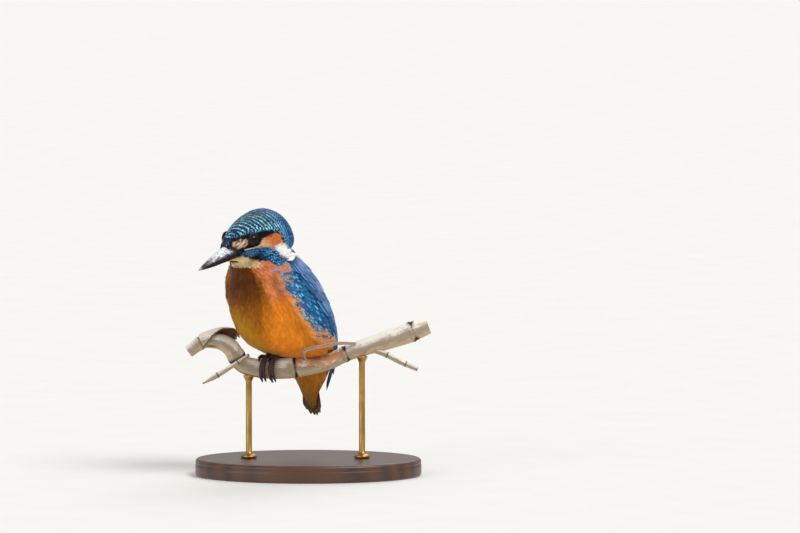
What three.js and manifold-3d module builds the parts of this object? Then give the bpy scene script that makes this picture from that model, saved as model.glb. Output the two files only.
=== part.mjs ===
// A young common kingfisher (Alcedo atthis) perched on a short cut length of dry reed,
// which two rods hold over a flat oval base. Millimetres, +Z up. The origin is the middle
// of the base's underside. The bird looks towards -X and -Y; the reed runs along X.
import * as THREE from "three";
import { mergeVertices } from "three/addons/utils/BufferGeometryUtils.js";
import Module from "manifold-3d";

const wasm = await Module();
wasm.setup();

// ---------------------------------------------------------------- driving dimensions

const GAP = 0.3; // clearance kept between neighbouring pieces
const RAD = Math.PI / 180;

const BODY = { place: [-12.2, 3, 0], yaw: 225 * RAD };
const HEAD = { place: [26.6, 0, 122], yaw: 9 * RAD, pitch: 14 * RAD };

// Level cuts through the trunk: height, back edge, front edge (forward of the body's
// axis) and half width.
const TRUNK_CUTS = [
  [33.5, -21.9, -20, 2.2],
  [38, -21.2, -17.2, 4.8],
  [43, -20.8, -15.2, 6.6],
  [47, -22.8, -13.2, 8.8],
  [52, -25, -11, 11.6],
  [57, -25, -5.6, 15.6],
  [62, -24.8, 3.5, 19.4],
  [66, -24.4, 13.6, 22],
  [71, -23.8, 22.2, 23.7],
  [78, -23, 27.8, 25],
  [86, -20.8, 31, 25.4],
  [93, -17.6, 32.6, 24.8],
  [100, -14.2, 32.4, 22.8],
  [106, -10.4, 30.6, 19.8],
  [110.5, -6, 27.2, 15.8],
  [114, 0, 21, 9],
];
const WIDE_BACK = 0.07; // how much wider the back of a cut is than its front

// The neck: middle of each round section, then its half depth and half width.
const NECK_CUTS = [
  [5, 90, 20, 20],
  [9.2, 99, 20.8, 20.6],
  [14.2, 107, 19.4, 19],
  [19.2, 113.8, 15.6, 16.4],
  [23.6, 119, 13, 14],
];

// Upright cuts through the head, in its own frame, where x = 0 is the middle of the
// skull and z = 0 the line of the mouth: x, top, bottom, half width.
const HEAD_CUTS = [
  [20.4, 5, -2.4, 3.4],
  [18.4, 6.6, -2.8, 4.8],
  [15.4, 8.2, -3.6, 6.2],
  [11, 10.4, -5.2, 8.4],
  [5, 12.4, -7.8, 11.2],
  [-2, 13.9, -10.6, 13.8],
  [-9, 14.8, -12.6, 15.4],
  [-15, 14.9, -12.6, 15.8],
  [-20, 13.4, -12, 14.9],
  [-24, 9.2, -9.6, 11.4],
  [-26.4, 4.4, -5.6, 6],
];
const NAPE_SAG = 3.6; // how much lower the head's widest line lies at the nape
const JAW_TAPER = 0.42; // how much narrower the chin is than the cheeks

const EYE = { place: [5.5, 7.6, 4.8], radius: 3.6 };

// The bill: distance forward of the skull's middle, culmen height, half width, keel depth.
const BILL_CUTS = [
  [11.4, 4.2, 6.3, -2.3],
  [20, 4.9, 5, -2.5],
  [26, 4.1, 3.9, -2.2],
  [32, 2.9, 2.8, -1.8],
  [37.5, 1.7, 1.7, -1.15],
  [41.4, 0.7, 0.75, -0.45],
  [42.8, 0.3, 0.3, -0.18],
];
const MOUTH_GAP = 0.16; // half the gap between the mandibles

// The left wing, folded: front edge, crest and back edge at each station, shoulder to tip.
const WING_STATIONS = [
  { front: [20.5, 14.5, 113.5], crest: [14, 17.5, 115], back: [6, 14.5, 116], thick: 1.8 },
  { front: [23, 17.8, 107], crest: [13, 22.6, 108.5], back: [-1, 14.5, 110.5], thick: 3 },
  { front: [21, 22.6, 97], crest: [7, 26, 99], back: [-10, 13.2, 102.5], thick: 3.4 },
  { front: [13.6, 25.8, 83.5], crest: [-3, 27.2, 86], back: [-18.2, 12.5, 90], thick: 3.4 },
  { front: [5, 26, 74.5], crest: [-10, 25.6, 76.5], back: [-22.5, 11.5, 78], thick: 3.2 },
  { front: [-6, 23.8, 69], crest: [-16.5, 20.8, 68.5], back: [-24.5, 10.4, 67], thick: 2.6 },
  { front: [-14.5, 20, 68], crest: [-20, 17.4, 65], back: [-25, 9.8, 62], thick: 2.2 },
  { front: [-19.2, 16.4, 63.5], crest: [-22.6, 14.4, 60], back: [-25.3, 9.2, 57], thick: 1.8 },
  { front: [-18, 13, 53.2], crest: [-22.5, 11.4, 51.4], back: [-25.2, 7.8, 49.4], thick: 1.5 },
  { front: [-20.2, 8.6, 44.4], crest: [-22.3, 7.8, 43.2], back: [-24.3, 6.2, 43.4], thick: 1.1 },
];
// The flight feathers show below the coverts, from this station on.
const COVERTS_END = 0.52;

const TAIL = {
  root: [-18.8, 0, 56],
  tip: [-22.3, 0, 29.4],
  root_half: 4.4,
  tip_half: 7.2,
  round: 0.24, // the share of its length over which the tip rounds off
  thick: 0.9,
  roof: 0.22, // how much lower the outer feathers lie, for each millimetre out
};
const TAIL_LENGTH = Math.hypot(TAIL.root[0] - TAIL.tip[0], TAIL.root[2] - TAIL.tip[2]);

// The reed's middle line: x, z, radius. It lies in the plane y = 0.
const REED = [
  [-62.4, 64.8, 3.2],
  [-55.5, 69.6, 3.5],
  [-50.4, 70.4, 3.8],
  [-45.2, 69.7, 4.2],
  [-40.8, 67.2, 4.5],
  [-38.2, 63.6, 4.5],
  [-35.8, 60, 4.6],
  [-32, 57.4, 4.7],
  [-24, 55.8, 4.95],
  [-16.7, 55.7, 5.3],
  [-9.9, 56.2, 5.5],
  [-4.2, 57, 5.3],
  [3.6, 57.9, 4.6],
  [11.9, 60.1, 4.2],
  [17.1, 62.5, 4.1],
  [22.3, 64.7, 4.1],
  [35.3, 69, 4.6],
  [48.8, 73.3, 5.2],
  [54, 75.2, 5.2],
  [62.4, 78.5, 4.4],
];
const REED_JOINTS = [-56.7, -37.4, -7.6, 19, 54]; // where the stem has its joints
const REED_WALL = 0.95;

// The torn leaf sheath over the reed's crook, as stations along it: x, the angles at
// which its near and far edges lie over the top, and how far it stands off the reed.
const SHEATH = [
  [-55.4, 124, -116, 0.4],
  [-53.2, 104, -118, 0.9],
  [-50, 62, -116, 1.8],
  [-46.4, 30, -104, 3.2],
  [-43, 8, -84, 4.2],
  [-41.2, -4, -58, 3],
];
const SHEATH_THICK = 0.55;

// A peeled strip that loops out from the front of the reed.
const STRIP = {
  line: [
    [24.5, -3, 69.3],
    [16, -8, 70],
    [7, -14.6, 69],
    [0.6, -17.6, 68],
    [-2, -17.8, 66.4],
    [-2, -16, 63.6],
    [0.6, -12.6, 61.4],
    [5, -8.6, 60.8],
    [9.4, -4.8, 62],
  ],
  width: 2.3,
  thick: 0.9,
};

// A broken leaf stalk that crosses in front of the reed, and a side shoot.
const TWIG = { line: [[-54.8, -9.4, 49.1], [-45, -8.4, 54.6], [-37, -7.4, 59.6], [-31, -3.4, 63.4]] };
const SHOOT = { line: [[34, -1.4, 65.6], [40.5, -3, 63.6], [48, -4, 60], [57, -4.4, 56]] };
const TWIG_RADII = [0.5, 1.35, 1.2, 1.1, 0.9];
const SHOOT_RADII = [1.2, 1.5, 1.5, 1.2];

const REED_BORE_DEPTH = 9;

const BASE = { length: 118, width: 78, height: 9, round: 1.6 };
const ROD = { x: [-31, 28], radius: 1.6, foot: 4.2, foot_height: 2.4, cup: 3, cup_height: 3 };

// ---------------------------------------------------------------- solids

const NORTH = new THREE.Vector3(0, 0, 1);
const vec = (p) => new THREE.Vector3(...p);
const mix = THREE.MathUtils.lerp;

// A geometry as a manifold-3d solid.
function solid(geometry) {
  const bare = geometry.index ? geometry.toNonIndexed() : geometry.clone();
  for (const name of Object.keys(bare.attributes)) {
    if (name !== "position") bare.deleteAttribute(name);
  }
  const merged = mergeVertices(bare, 1e-4);
  return new wasm.Manifold(
    new wasm.Mesh({
      numProp: 3,
      vertProperties: new Float32Array(merged.attributes.position.array),
      triVerts: new Uint32Array(merged.index.array),
    }),
  );
}

// A manifold-3d solid as a three.js geometry.
function geometryOf(body) {
  const { vertProperties, triVerts, numProp } = body.getMesh();
  const places = new Float32Array((vertProperties.length / numProp) * 3);
  for (let i = 0; i < places.length / 3; i++) {
    for (let k = 0; k < 3; k++) places[3 * i + k] = vertProperties[numProp * i + k];
  }
  const made = new THREE.BufferGeometry();
  made.setAttribute("position", new THREE.BufferAttribute(places, 3));
  made.setIndex(Array.from(triVerts));
  made.computeVertexNormals();
  return made;
}

// The largest of the bodies that a cut leaves.
function largest(body) {
  return body.decompose().reduce((a, b) => (b.volume() > a.volume() ? b : a));
}

const joined = (bodies) => bodies.reduce((a, b) => a.add(b));

// A closed skin through rings of points, with a fan over each end ring.
function loft(rings) {
  const n = rings[0].length;
  const points = rings.flat();
  const faces = [];
  for (let i = 0; i + 1 < rings.length; i++) {
    for (let k = 0; k < n; k++) {
      const [a, b] = [i * n + k, i * n + ((k + 1) % n)];
      faces.push(a, b, b + n, a, b + n, a + n);
    }
  }
  for (const [ring, first] of [[rings[0], 0], [rings.at(-1), (rings.length - 1) * n]]) {
    const middle = ring.reduce((s, p) => s.add(p), new THREE.Vector3()).divideScalar(n);
    points.push(middle);
    for (let k = 0; k < n; k++) {
      const edge = [first + k, first + ((k + 1) % n)];
      faces.push(points.length - 1, ...(first === 0 ? edge.reverse() : edge));
    }
  }
  const volume = faces.reduce((sum, _, i) => {
    if (i % 3) return sum;
    const [a, b, c] = [points[faces[i]], points[faces[i + 1]], points[faces[i + 2]]];
    return sum + a.clone().cross(b).dot(c);
  }, 0);
  if (volume < 0) faces.reverse();
  const made = new THREE.BufferGeometry().setFromPoints(points);
  made.setIndex(faces);
  return made;
}

// Smooth values between the rows of a table, at count even steps.
function smoothRows(rows, count) {
  const curves = rows[0].map(
    (_, column) =>
      new THREE.SplineCurve(rows.map((row, i) => new THREE.Vector2(i, row[column]))),
  );
  return Array.from({ length: count }, (_, i) =>
    curves.map((curve) => curve.getPoint(i / (count - 1)).y),
  );
}

// A round tube along a curve, whose radius is a function of the way along it.
function tube(curve, radiusAt, steps, sides) {
  const frames = curve.computeFrenetFrames(steps, false);
  const rings = Array.from({ length: steps + 1 }, (_, i) => {
    const middle = curve.getPointAt(i / steps);
    return Array.from({ length: sides }, (_, k) => {
      const angle = (2 * Math.PI * k) / sides;
      return middle
        .clone()
        .addScaledVector(frames.normals[i], radiusAt(i / steps) * Math.cos(angle))
        .addScaledVector(frames.binormals[i], radiusAt(i / steps) * Math.sin(angle));
    });
  });
  return loft(rings);
}

// A large box with its lower face on the plane through a point.
function halfSpace(point, normal) {
  const side = 400;
  const box = new THREE.BoxGeometry(side, side, side).translate(0, 0, side / 2);
  const turn = new THREE.Quaternion().setFromUnitVectors(NORTH, normal.clone().normalize());
  box.applyQuaternion(turn).translate(...point.toArray());
  return solid(box);
}

// Parts a solid at a plane, leaving GAP between the two sides.
function part(body, point, normal) {
  const unit = normal.clone().normalize();
  const ahead = point.clone().addScaledVector(unit, GAP / 2);
  const behind = point.clone().addScaledVector(unit, -GAP / 2);
  return [
    largest(body.intersect(halfSpace(ahead, unit))),
    largest(body.intersect(halfSpace(behind, unit.clone().negate()))),
  ];
}

function mesh(name, geometry, material) {
  const made = new THREE.Mesh(geometry, material);
  made.name = name;
  return made;
}

// ---------------------------------------------------------------- materials

function material(color, roughness, metalness = 0) {
  return new THREE.MeshStandardMaterial({ color, roughness, metalness });
}

const MATERIALS = {
  crown: material(0x14607f, 0.55),
  breast: material(0xc4681a, 0.8),
  throat: material(0xf1e4cb, 0.85),
  wing: material(0x155f86, 0.5),
  flight: material(0x123a4c, 0.5),
  tail: material(0x10445c, 0.5),
  eye: material(0x0d0908, 0.08),
  bill: material(0x17171b, 0.35),
  foot: material(0x3f2a27, 0.6),
  claw: material(0x120d0d, 0.4),
  reed: material(0xc9b597, 0.7),
  strip: material(0xa88b63, 0.75),
  base: material(0x3a2317, 0.45),
  rod: material(0xb08d4a, 0.3, 1),
};

// ---------------------------------------------------------------- the bird's flesh

// The bird's own frame: +X forward, +Y to its left, +Z up.
const bird = new THREE.Group();
bird.position.set(...BODY.place);
bird.rotation.z = BODY.yaw;
bird.updateMatrix();

const headFrame = new THREE.Matrix4()
  .makeTranslation(...HEAD.place)
  .multiply(new THREE.Matrix4().makeRotationZ(HEAD.yaw))
  .multiply(new THREE.Matrix4().makeRotationY(HEAD.pitch));

function trunkSolid() {
  const sides = 22;
  const rings = smoothRows(TRUNK_CUTS, 15).map(([z, back, front, wide]) =>
    Array.from({ length: sides }, (_, k) => {
      const angle = (2 * Math.PI * k) / sides;
      const across = wide * Math.sin(angle) * (1 - WIDE_BACK * Math.cos(angle));
      return new THREE.Vector3(
        (back + front) / 2 + ((front - back) / 2) * Math.cos(angle),
        across,
        z,
      );
    }),
  );
  return solid(loft(rings));
}

function neckSolid() {
  const sides = 22;
  const rows = smoothRows(NECK_CUTS, 7);
  const rings = rows.map(([x, z, deep, wide], i) => {
    const [x0, z0] = rows[Math.max(i - 1, 0)];
    const [x1, z1] = rows[Math.min(i + 1, rows.length - 1)];
    const forward = new THREE.Vector3(z1 - z0, 0, x0 - x1).normalize();
    return Array.from({ length: sides }, (_, k) => {
      const angle = (2 * Math.PI * k) / sides;
      return new THREE.Vector3(x, 0, z)
        .addScaledVector(forward, deep * Math.cos(angle))
        .add(new THREE.Vector3(0, wide * Math.sin(angle), 0));
    });
  });
  return solid(loft(rings));
}

function headSolid() {
  const sides = 22;
  const rings = smoothRows(HEAD_CUTS, 13).map(([x, top, bottom, wide]) =>
    Array.from({ length: sides }, (_, k) => {
      const angle = (2 * Math.PI * k) / sides;
      const below = Math.min(Math.cos(angle), 0) ** 2;
      const narrow = 1 - JAW_TAPER * below * THREE.MathUtils.smoothstep(x, -8, 12);
      const middle = 1 - NAPE_SAG * (1 - THREE.MathUtils.smoothstep(x, -22, -6));
      const height = Math.cos(angle) > 0 ? top - middle : middle - bottom;
      const across = wide * narrow * Math.sin(angle);
      return new THREE.Vector3(x, across, middle + height * Math.cos(angle));
    }),
  );
  return solid(loft(rings).applyMatrix4(headFrame));
}

// One mandible, from inside the head to its tip; grow makes it larger all round.
function mandible(upper, grow = 0) {
  const sides = 7;
  const rings = smoothRows(BILL_CUTS, 9).map(([x, culmen, wide, keel], i, all) => {
    const height = upper ? culmen : keel;
    const sign = Math.sign(height);
    const width = (upper ? wide : wide * 0.92) + grow;
    const end = i === all.length - 1 ? grow : 0;
    const arc = Array.from({ length: sides + 1 }, (_, k) => {
      const angle = (Math.PI * k) / sides;
      const ridge = Math.sin(angle) ** 1.15;
      return new THREE.Vector3(
        x + end,
        width * Math.cos(angle),
        sign * MOUTH_GAP + (height + sign * grow - sign * MOUTH_GAP) * ridge,
      );
    });
    if (grow) arc.forEach((p, k) => (p.z -= k === 0 || k === sides ? sign * 2 * grow : 0));
    return arc;
  });
  return solid(loft(rings).applyMatrix4(headFrame));
}

function eyeBall(side, grow = 0) {
  const [x, y, z] = EYE.place;
  const ball = new THREE.SphereGeometry(EYE.radius + grow, 14, 8);
  return solid(ball.translate(x, side * y, z).applyMatrix4(headFrame));
}

// ---------------------------------------------------------------- wings and tail

function wingCurves(grow) {
  const along = (key) =>
    new THREE.CatmullRomCurve3(WING_STATIONS.map((station) => vec(station[key])));
  const thick = smoothRows(WING_STATIONS.map((s) => [s.thick + 2 * grow]), 13);
  return { front: along("front"), crest: along("crest"), back: along("back"), thick };
}

// The folded left wing: a curved plate whose outer face passes the three edge curves.
function leftWing(grow = 0) {
  const { front, crest, back, thick } = wingCurves(grow);
  const stations = thick.length;
  const across = 4;
  const rings = Array.from({ length: stations }, (_, i) => {
    const way = i / (stations - 1);
    const [f, c, b] = [front, crest, back].map((curve) => curve.getPoint(way));
    const bend = c.clone().multiplyScalar(2).addScaledVector(f, -0.5).addScaledVector(b, -0.5);
    const arc = new THREE.QuadraticBezierCurve3(f, bend, b);
    const spread = b.clone().sub(f).normalize();
    const down = front.getTangent(way);
    const outward = new THREE.Vector3().crossVectors(spread, down).normalize();
    if (outward.y < 0) outward.negate();
    const outer = [];
    const inner = [];
    for (let k = 0; k <= across; k++) {
      const share = k / across;
      const edge = Math.sqrt(Math.sin(Math.PI * mix(0.06, 0.94, share)));
      const point = arc.getPoint(share).addScaledVector(spread, grow * (2 * share - 1));
      outer.push(point.clone().addScaledVector(outward, grow));
      inner.push(point.clone().addScaledVector(outward, grow - thick[i][0] * edge));
    }
    return [...outer, ...inner.reverse()];
  });
  for (const end of [0, 1]) {
    const out = front.getTangent(end).multiplyScalar(grow * (2 * end - 1));
    rings.at(end - 1 + (end ? 0 : 1)).forEach((p) => p.add(out));
  }
  return solid(loft(rings));
}

const mirrored = (body) => body.mirror([0, 1, 0]);

// The closed tail: a thin roof that widens from its root to a round tip.
function tailSolid(grow = 0) {
  const across = 6;
  const steps = 9;
  const rings = Array.from({ length: steps + 1 }, (_, i) => {
    const way = Math.sin((Math.PI * i) / (2 * steps));
    const rounding = Math.max(0, (way - 1 + TAIL.round) / TAIL.round);
    const half = mix(TAIL.root_half, TAIL.tip_half, way) * Math.sqrt(1.06 - rounding ** 2) + grow;
    const side = (height) =>
      Array.from({ length: across + 1 }, (_, k) => {
        const x = half * ((2 * k) / across - 1);
        const y = mix(grow, -TAIL_LENGTH - grow, way);
        return new THREE.Vector3(x, y, height - TAIL.roof * Math.abs(x));
      });
    return [...side(TAIL.thick / 2 + grow), ...side(-TAIL.thick / 2 - grow).reverse()];
  });
  return solid(hungFromTail(loft(rings)));
}

// Turns a shape drawn in the tail's own plane, root at the origin, into its place.
function hungFromTail(geometry) {
  const [root, tip] = [vec(TAIL.root), vec(TAIL.tip)];
  return geometry
    .rotateX(Math.PI / 2)
    .rotateZ(-Math.PI / 2)
    .rotateY(Math.atan2(root.x - tip.x, root.z - tip.z))
    .translate(...root.toArray());
}

// ---------------------------------------------------------------- the reed

const reedLine = new THREE.CatmullRomCurve3(REED.map(([x, z]) => new THREE.Vector3(x, 0, z)));
const reedRadii = new THREE.SplineCurve(REED.map(([, , r], i) => new THREE.Vector2(i, r)));

// The reed's middle, direction and radius some way along it, from 0 to 1.
function reedWay(way) {
  const middle = reedLine.getPoint(way);
  const joint = Math.max(...REED_JOINTS.map((at) => Math.exp(-(((middle.x - at) / 1.2) ** 2))));
  const radius = reedRadii.getPoint(way).y + 0.35 * joint;
  return { middle, along: reedLine.getTangent(way), radius };
}

// The same where the reed's line passes a given x.
function reedAt(x) {
  let [low, high] = [0, 1];
  for (let i = 0; i < 30; i++) {
    const way = (low + high) / 2;
    if (reedLine.getPoint(way).x < x) low = way;
    else high = way;
  }
  return reedWay(low);
}

function reedSolid(grow = 0) {
  const steps = 36;
  const sides = 12;
  const rings = Array.from({ length: steps + 1 }, (_, i) => {
    const { middle, along, radius } = reedWay(i / steps);
    const up = new THREE.Vector3(-along.z, 0, along.x);
    return Array.from({ length: sides }, (_, k) => {
      const angle = (2 * Math.PI * k) / sides;
      return middle
        .clone()
        .addScaledVector(up, (radius + grow) * Math.cos(angle))
        .add(new THREE.Vector3(0, (radius + grow) * Math.sin(angle), 0));
    });
  });
  return solid(loft(rings));
}

// The hollow that shows at each cut end of the reed.
function reedBore(end) {
  const { middle, along, radius } = reedWay(end < 0 ? 0 : 1);
  const out = along.clone().multiplyScalar(end);
  const bore = new THREE.CylinderGeometry(
    radius - REED_WALL,
    radius - REED_WALL - 0.5,
    2 * REED_BORE_DEPTH,
    12,
  );
  const turn = new THREE.Quaternion().setFromUnitVectors(new THREE.Vector3(0, 1, 0), out);
  return solid(bore.applyQuaternion(turn).translate(...middle.toArray()));
}

// A place on the reed's surface: x along it, an angle over from its top towards -Y, and
// a height above the surface.
function onReed(x, angle, above) {
  const { middle, along, radius } = reedAt(x);
  const up = new THREE.Vector3(-along.z, 0, along.x);
  return middle
    .clone()
    .addScaledVector(up, (radius + above) * Math.cos(angle * RAD))
    .add(new THREE.Vector3(0, -(radius + above) * Math.sin(angle * RAD), 0));
}

// ---------------------------------------------------------------- legs and feet

const TOE_RADIUS = 1.2;
const TOE_BOW = 1.3; // how far a long toe bows to the left on its way round the reed
const ABOVE = TOE_RADIUS + 0.35; // the toes' middle line over the reed

// Each foot: where it stands on the reed, and its toes' ends as x and angle. The outer
// and middle toes are grown together; the inner one is short.
const FEET = {
  left: {
    stance: [-15, 4],
    knee: [-12.8, -1.6, 66.5],
    toes: { inner: [-20.1, 32], middle: [-19.2, 138], outer: [-17.8, 128], hind: [-12.8, -108] },
  },
  right: {
    stance: [-20.6, -16],
    knee: [-17.2, 5.2, 66],
    toes: { inner: [-26.2, 28], middle: [-23.8, 136], outer: [-22.4, 127], hind: [-18, -112] },
  },
};
const TOE_NAMES = ["inner", "middle", "outer", "hind"];

// A toe's middle line, from the foot over the reed to where the claw begins.
function toeLine([x0, a0], [x1, a1]) {
  const points = Array.from({ length: 7 }, (_, i) => {
    const way = i / 6;
    const spread = 1 - (1 - way) ** 2.2;
    const bow = a1 > 90 ? TOE_BOW * Math.sin(way * Math.PI) : 0;
    return onReed(mix(x0, x1, spread) - bow, mix(a0, a1, way), ABOVE);
  });
  return new THREE.CatmullRomCurve3(points);
}

function footSolid({ stance, knee, toes }) {
  const ankle = onReed(stance[0], stance[1], ABOVE + 0.5);
  const shank = new THREE.CatmullRomCurve3([vec(knee), vec(knee).lerp(ankle, 0.6), ankle]);
  const parts = [
    solid(tube(shank, (way) => mix(1.7, 1.5, way), 3, 8)),
    solid(new THREE.SphereGeometry(1.75, 8, 6).translate(...ankle.toArray())),
  ];
  for (const name of TOE_NAMES) {
    const knuckle = (way) => 1 + 0.1 * Math.cos(way * 4 * Math.PI);
    const radius = (way) => mix(TOE_RADIUS, 0.8, way) * knuckle(way);
    parts.push(solid(tube(toeLine(stance, toes[name]), radius, 5, 6)));
  }
  return joined(parts);
}

// A claw carries on from its toe and curves back to the reed.
function clawSolid(stance, end) {
  const line = toeLine(stance, end);
  const tip = line.getPoint(1);
  const ahead = line.getTangent(1);
  const around = Math.sign(end[1] || 1);
  const inward = onReed(end[0], end[1] + 6 * around, ABOVE - 1).sub(tip).normalize();
  const points = [0.3, 1.4, 2.4, 3.2].map((reach, i) =>
    tip.clone().addScaledVector(ahead, reach).addScaledVector(inward, [0, -0.15, 0.1, 0.45][i]),
  );
  const curve = new THREE.CatmullRomCurve3(points);
  return solid(tube(curve, (way) => mix(0.62, 0.14, way), 3, 5));
}

// ---------------------------------------------------------------- the bird

const toWorld = (body) => body.transform(bird.matrix.elements);
const toBird = (body) => body.transform(bird.matrix.clone().invert().elements);

const reedGrown = toBird(reedSolid(GAP));
const seat = toBird(seatSolid());
const feet = Object.fromEntries(
  Object.entries(FEET).map(([side, foot]) => [side, footSolid(foot)]),
);

// The room in front of the reed and below its top, which the body keeps out of.
function seatSolid() {
  const outline = new THREE.Shape();
  const ends = [REED[0][0], REED.at(-1)[0]];
  outline.moveTo(ends[0], 0);
  for (let i = 0; i <= 19; i++) {
    const { middle, along, radius } = reedWay(i / 19);
    outline.lineTo(middle.x - along.z * (radius + GAP), middle.z + along.x * (radius + GAP));
  }
  outline.lineTo(ends[1], 0);
  outline.closePath();
  return solid(
    new THREE.ExtrudeGeometry(outline, { depth: 60, bevelEnabled: false }).rotateX(Math.PI / 2),
  );
}

// A leg's feathered stump, which the trunk makes room for.
function legClearance(foot) {
  return toBird(solid(new THREE.SphereGeometry(2.4, 8, 6).translate(...foot.knee)));
}

function birdMeshes() {
  const bill = { upper: mandible(true), lower: mandible(false) };
  const billGrown = joined([mandible(true, GAP), mandible(false, GAP)]);
  const eyes = { left: eyeBall(1), right: eyeBall(-1) };
  const wing = leftWing();
  const wings = { left: largest(wing.subtract(reedGrown)), right: mirrored(wing) };
  const wingGrown = wing.add(leftWing(GAP));
  const wingsGrown = wingGrown.add(mirrored(wingGrown));
  const tail = tailSolid();

  const whole = joined([trunkSolid(), neckSolid(), headSolid()]);
  const bare = whole
    .subtract(billGrown)
    .subtract(joined([eyeBall(1, GAP), eyeBall(-1, GAP)]))
    .subtract(wingsGrown)
    .subtract(tailSolid(GAP))
    .subtract(reedGrown)
    .subtract(seat)
    .subtract(joined(Object.values(FEET).map(legClearance)))
    .subtract(joined(Object.values(feet).map((foot) => toBird(foot))));

  const underHead = new THREE.Vector3(26, 0, 112.5);
  const headAxis = new THREE.Vector3(0.35, 0, 1);
  const [head, below] = part(bare, underHead, headAxis);
  const underNeck = new THREE.Vector3(14, 0, 101.5);
  const neckAxis = new THREE.Vector3(0.42, 0, 1);
  const [neck, trunk] = part(below, underNeck, neckAxis);

  const meshes = [
    mesh("head", geometryOf(head), MATERIALS.crown),
    mesh("neck", geometryOf(neck), MATERIALS.throat),
    mesh("trunk", geometryOf(trunk), MATERIALS.breast),
    mesh("bill_upper", geometryOf(bill.upper), MATERIALS.bill),
    mesh("bill_lower", geometryOf(bill.lower), MATERIALS.bill),
    mesh("tail", geometryOf(tail), MATERIALS.tail),
  ];
  const bend = wingCurves(0).crest.getPoint(COVERTS_END);
  const downwards = wingCurves(0).crest.getTangent(COVERTS_END);
  for (const [side, sign] of [["left", 1], ["right", -1]]) {
    const across = new THREE.Vector3(1, sign, 1);
    const [point, normal] = [bend.clone().multiply(across), downwards.clone().multiply(across)];
    const [flight, coverts] = part(wings[side], point, normal);
    meshes.push(
      mesh(`eye_${side}`, geometryOf(eyes[side]), MATERIALS.eye),
      mesh(`wing_${side}`, geometryOf(coverts), MATERIALS.wing),
      mesh(`wing_${side}_flight`, geometryOf(flight), MATERIALS.flight),
    );
  }
  return meshes;
}

function footMeshes() {
  const meshes = [];
  for (const [side, foot] of Object.entries(FEET)) {
    meshes.push(mesh(`leg_${side}`, geometryOf(feet[side]), MATERIALS.foot));
    for (const name of TOE_NAMES) {
      const claw = largest(clawSolid(foot.stance, foot.toes[name]).subtract(reedSolid(0.1)));
      meshes.push(mesh(`claw_${side}_${name}`, geometryOf(claw), MATERIALS.claw));
    }
  }
  return meshes;
}

// ---------------------------------------------------------------- perch and stand

// The torn sheath, as a shell over the reed that opens towards its right end.
function sheathSolid() {
  const across = 6;
  const rings = smoothRows(SHEATH, 9).map(([x, near, far, above]) => {
    const arc = (height) =>
      Array.from({ length: across + 1 }, (_, k) => onReed(x, mix(near, far, k / across), height));
    return [...arc(above + SHEATH_THICK), ...arc(above).reverse()];
  });
  return solid(loft(rings));
}

// The peeled strip: a flat band swept along its loop.
function stripSolid() {
  const band = new THREE.Shape();
  band.moveTo(-STRIP.thick / 2, -STRIP.width / 2);
  band.lineTo(STRIP.thick / 2, -STRIP.width / 2);
  band.lineTo(STRIP.thick / 2, STRIP.width / 2);
  band.lineTo(-STRIP.thick / 2, STRIP.width / 2);
  band.closePath();
  const extrudePath = new THREE.CatmullRomCurve3(STRIP.line.map(vec));
  return solid(new THREE.ExtrudeGeometry(band, { steps: 20, extrudePath }));
}

// A round stalk whose radius follows a row of values along it.
function stalkSolid(line, radii) {
  const values = new THREE.SplineCurve(radii.map((r, i) => new THREE.Vector2(i, r)));
  return solid(tube(new THREE.CatmullRomCurve3(line.map(vec)), (w) => values.getPoint(w).y, 9, 8));
}

function perchMeshes() {
  const around = reedSolid(GAP).add(reedSolid());
  const bored = reedSolid().subtract(reedBore(-1)).subtract(reedBore(1));
  const clear = (body) => largest(body.subtract(around));
  return [
    mesh("perch_reed", geometryOf(bored), MATERIALS.reed),
    mesh("perch_sheath", geometryOf(clear(sheathSolid())), MATERIALS.strip),
    mesh("perch_strip", geometryOf(clear(stripSolid())), MATERIALS.strip),
    mesh("perch_stalk", geometryOf(clear(stalkSolid(TWIG.line, TWIG_RADII))), MATERIALS.reed),
    mesh("perch_shoot", geometryOf(clear(stalkSolid(SHOOT.line, SHOOT_RADII))), MATERIALS.reed),
  ];
}

function standMeshes() {
  const outline = new THREE.Shape();
  outline.absellipse(0, 0, BASE.length / 2 - BASE.round, BASE.width / 2 - BASE.round, 0, 2 * Math.PI);
  const base = new THREE.ExtrudeGeometry(outline, {
    depth: BASE.height - 2 * BASE.round,
    bevelThickness: BASE.round,
    bevelSize: BASE.round,
    bevelSegments: 2,
    curveSegments: 12,
  }).translate(0, 0, BASE.round);
  const meshes = [mesh("stand_base", base, MATERIALS.base)];
  ROD.x.forEach((x, i) => {
    const top = reedAt(x).middle.z + 2;
    const bottom = BASE.height + GAP;
    const profile = [
      [0, bottom],
      [ROD.foot, bottom],
      [ROD.foot, bottom + ROD.foot_height * 0.6],
      [ROD.radius, bottom + ROD.foot_height],
      [ROD.radius, top - reedAt(x).radius - ROD.cup_height],
      [ROD.cup, top - reedAt(x).radius],
      [ROD.cup, top],
      [0, top],
    ].map(([r, z]) => new THREE.Vector2(r, z));
    const turned = new THREE.LatheGeometry(profile, 12).rotateX(Math.PI / 2).translate(x, 0, 0);
    const rod = largest(solid(turned).subtract(reedSolid(GAP)));
    meshes.push(mesh(`stand_rod_${i + 1}`, geometryOf(rod), MATERIALS.rod));
  });
  return meshes;
}

// ---------------------------------------------------------------- the whole

bird.add(...birdMeshes());
const model = new THREE.Group();
model.add(bird, ...footMeshes(), ...perchMeshes(), ...standMeshes());

export default model;
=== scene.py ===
"""A young common kingfisher on a cut length of reed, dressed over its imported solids.

Lengths are in millimetres until a mesh is made, where they become metres. The bird's own
frame has +X forward, +Y to its left and +Z up; the head's frame is turned with the head.
"""

import logging
import math
from dataclasses import dataclass, field
from enum import Enum
from typing import Any, Callable, Sequence

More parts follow.
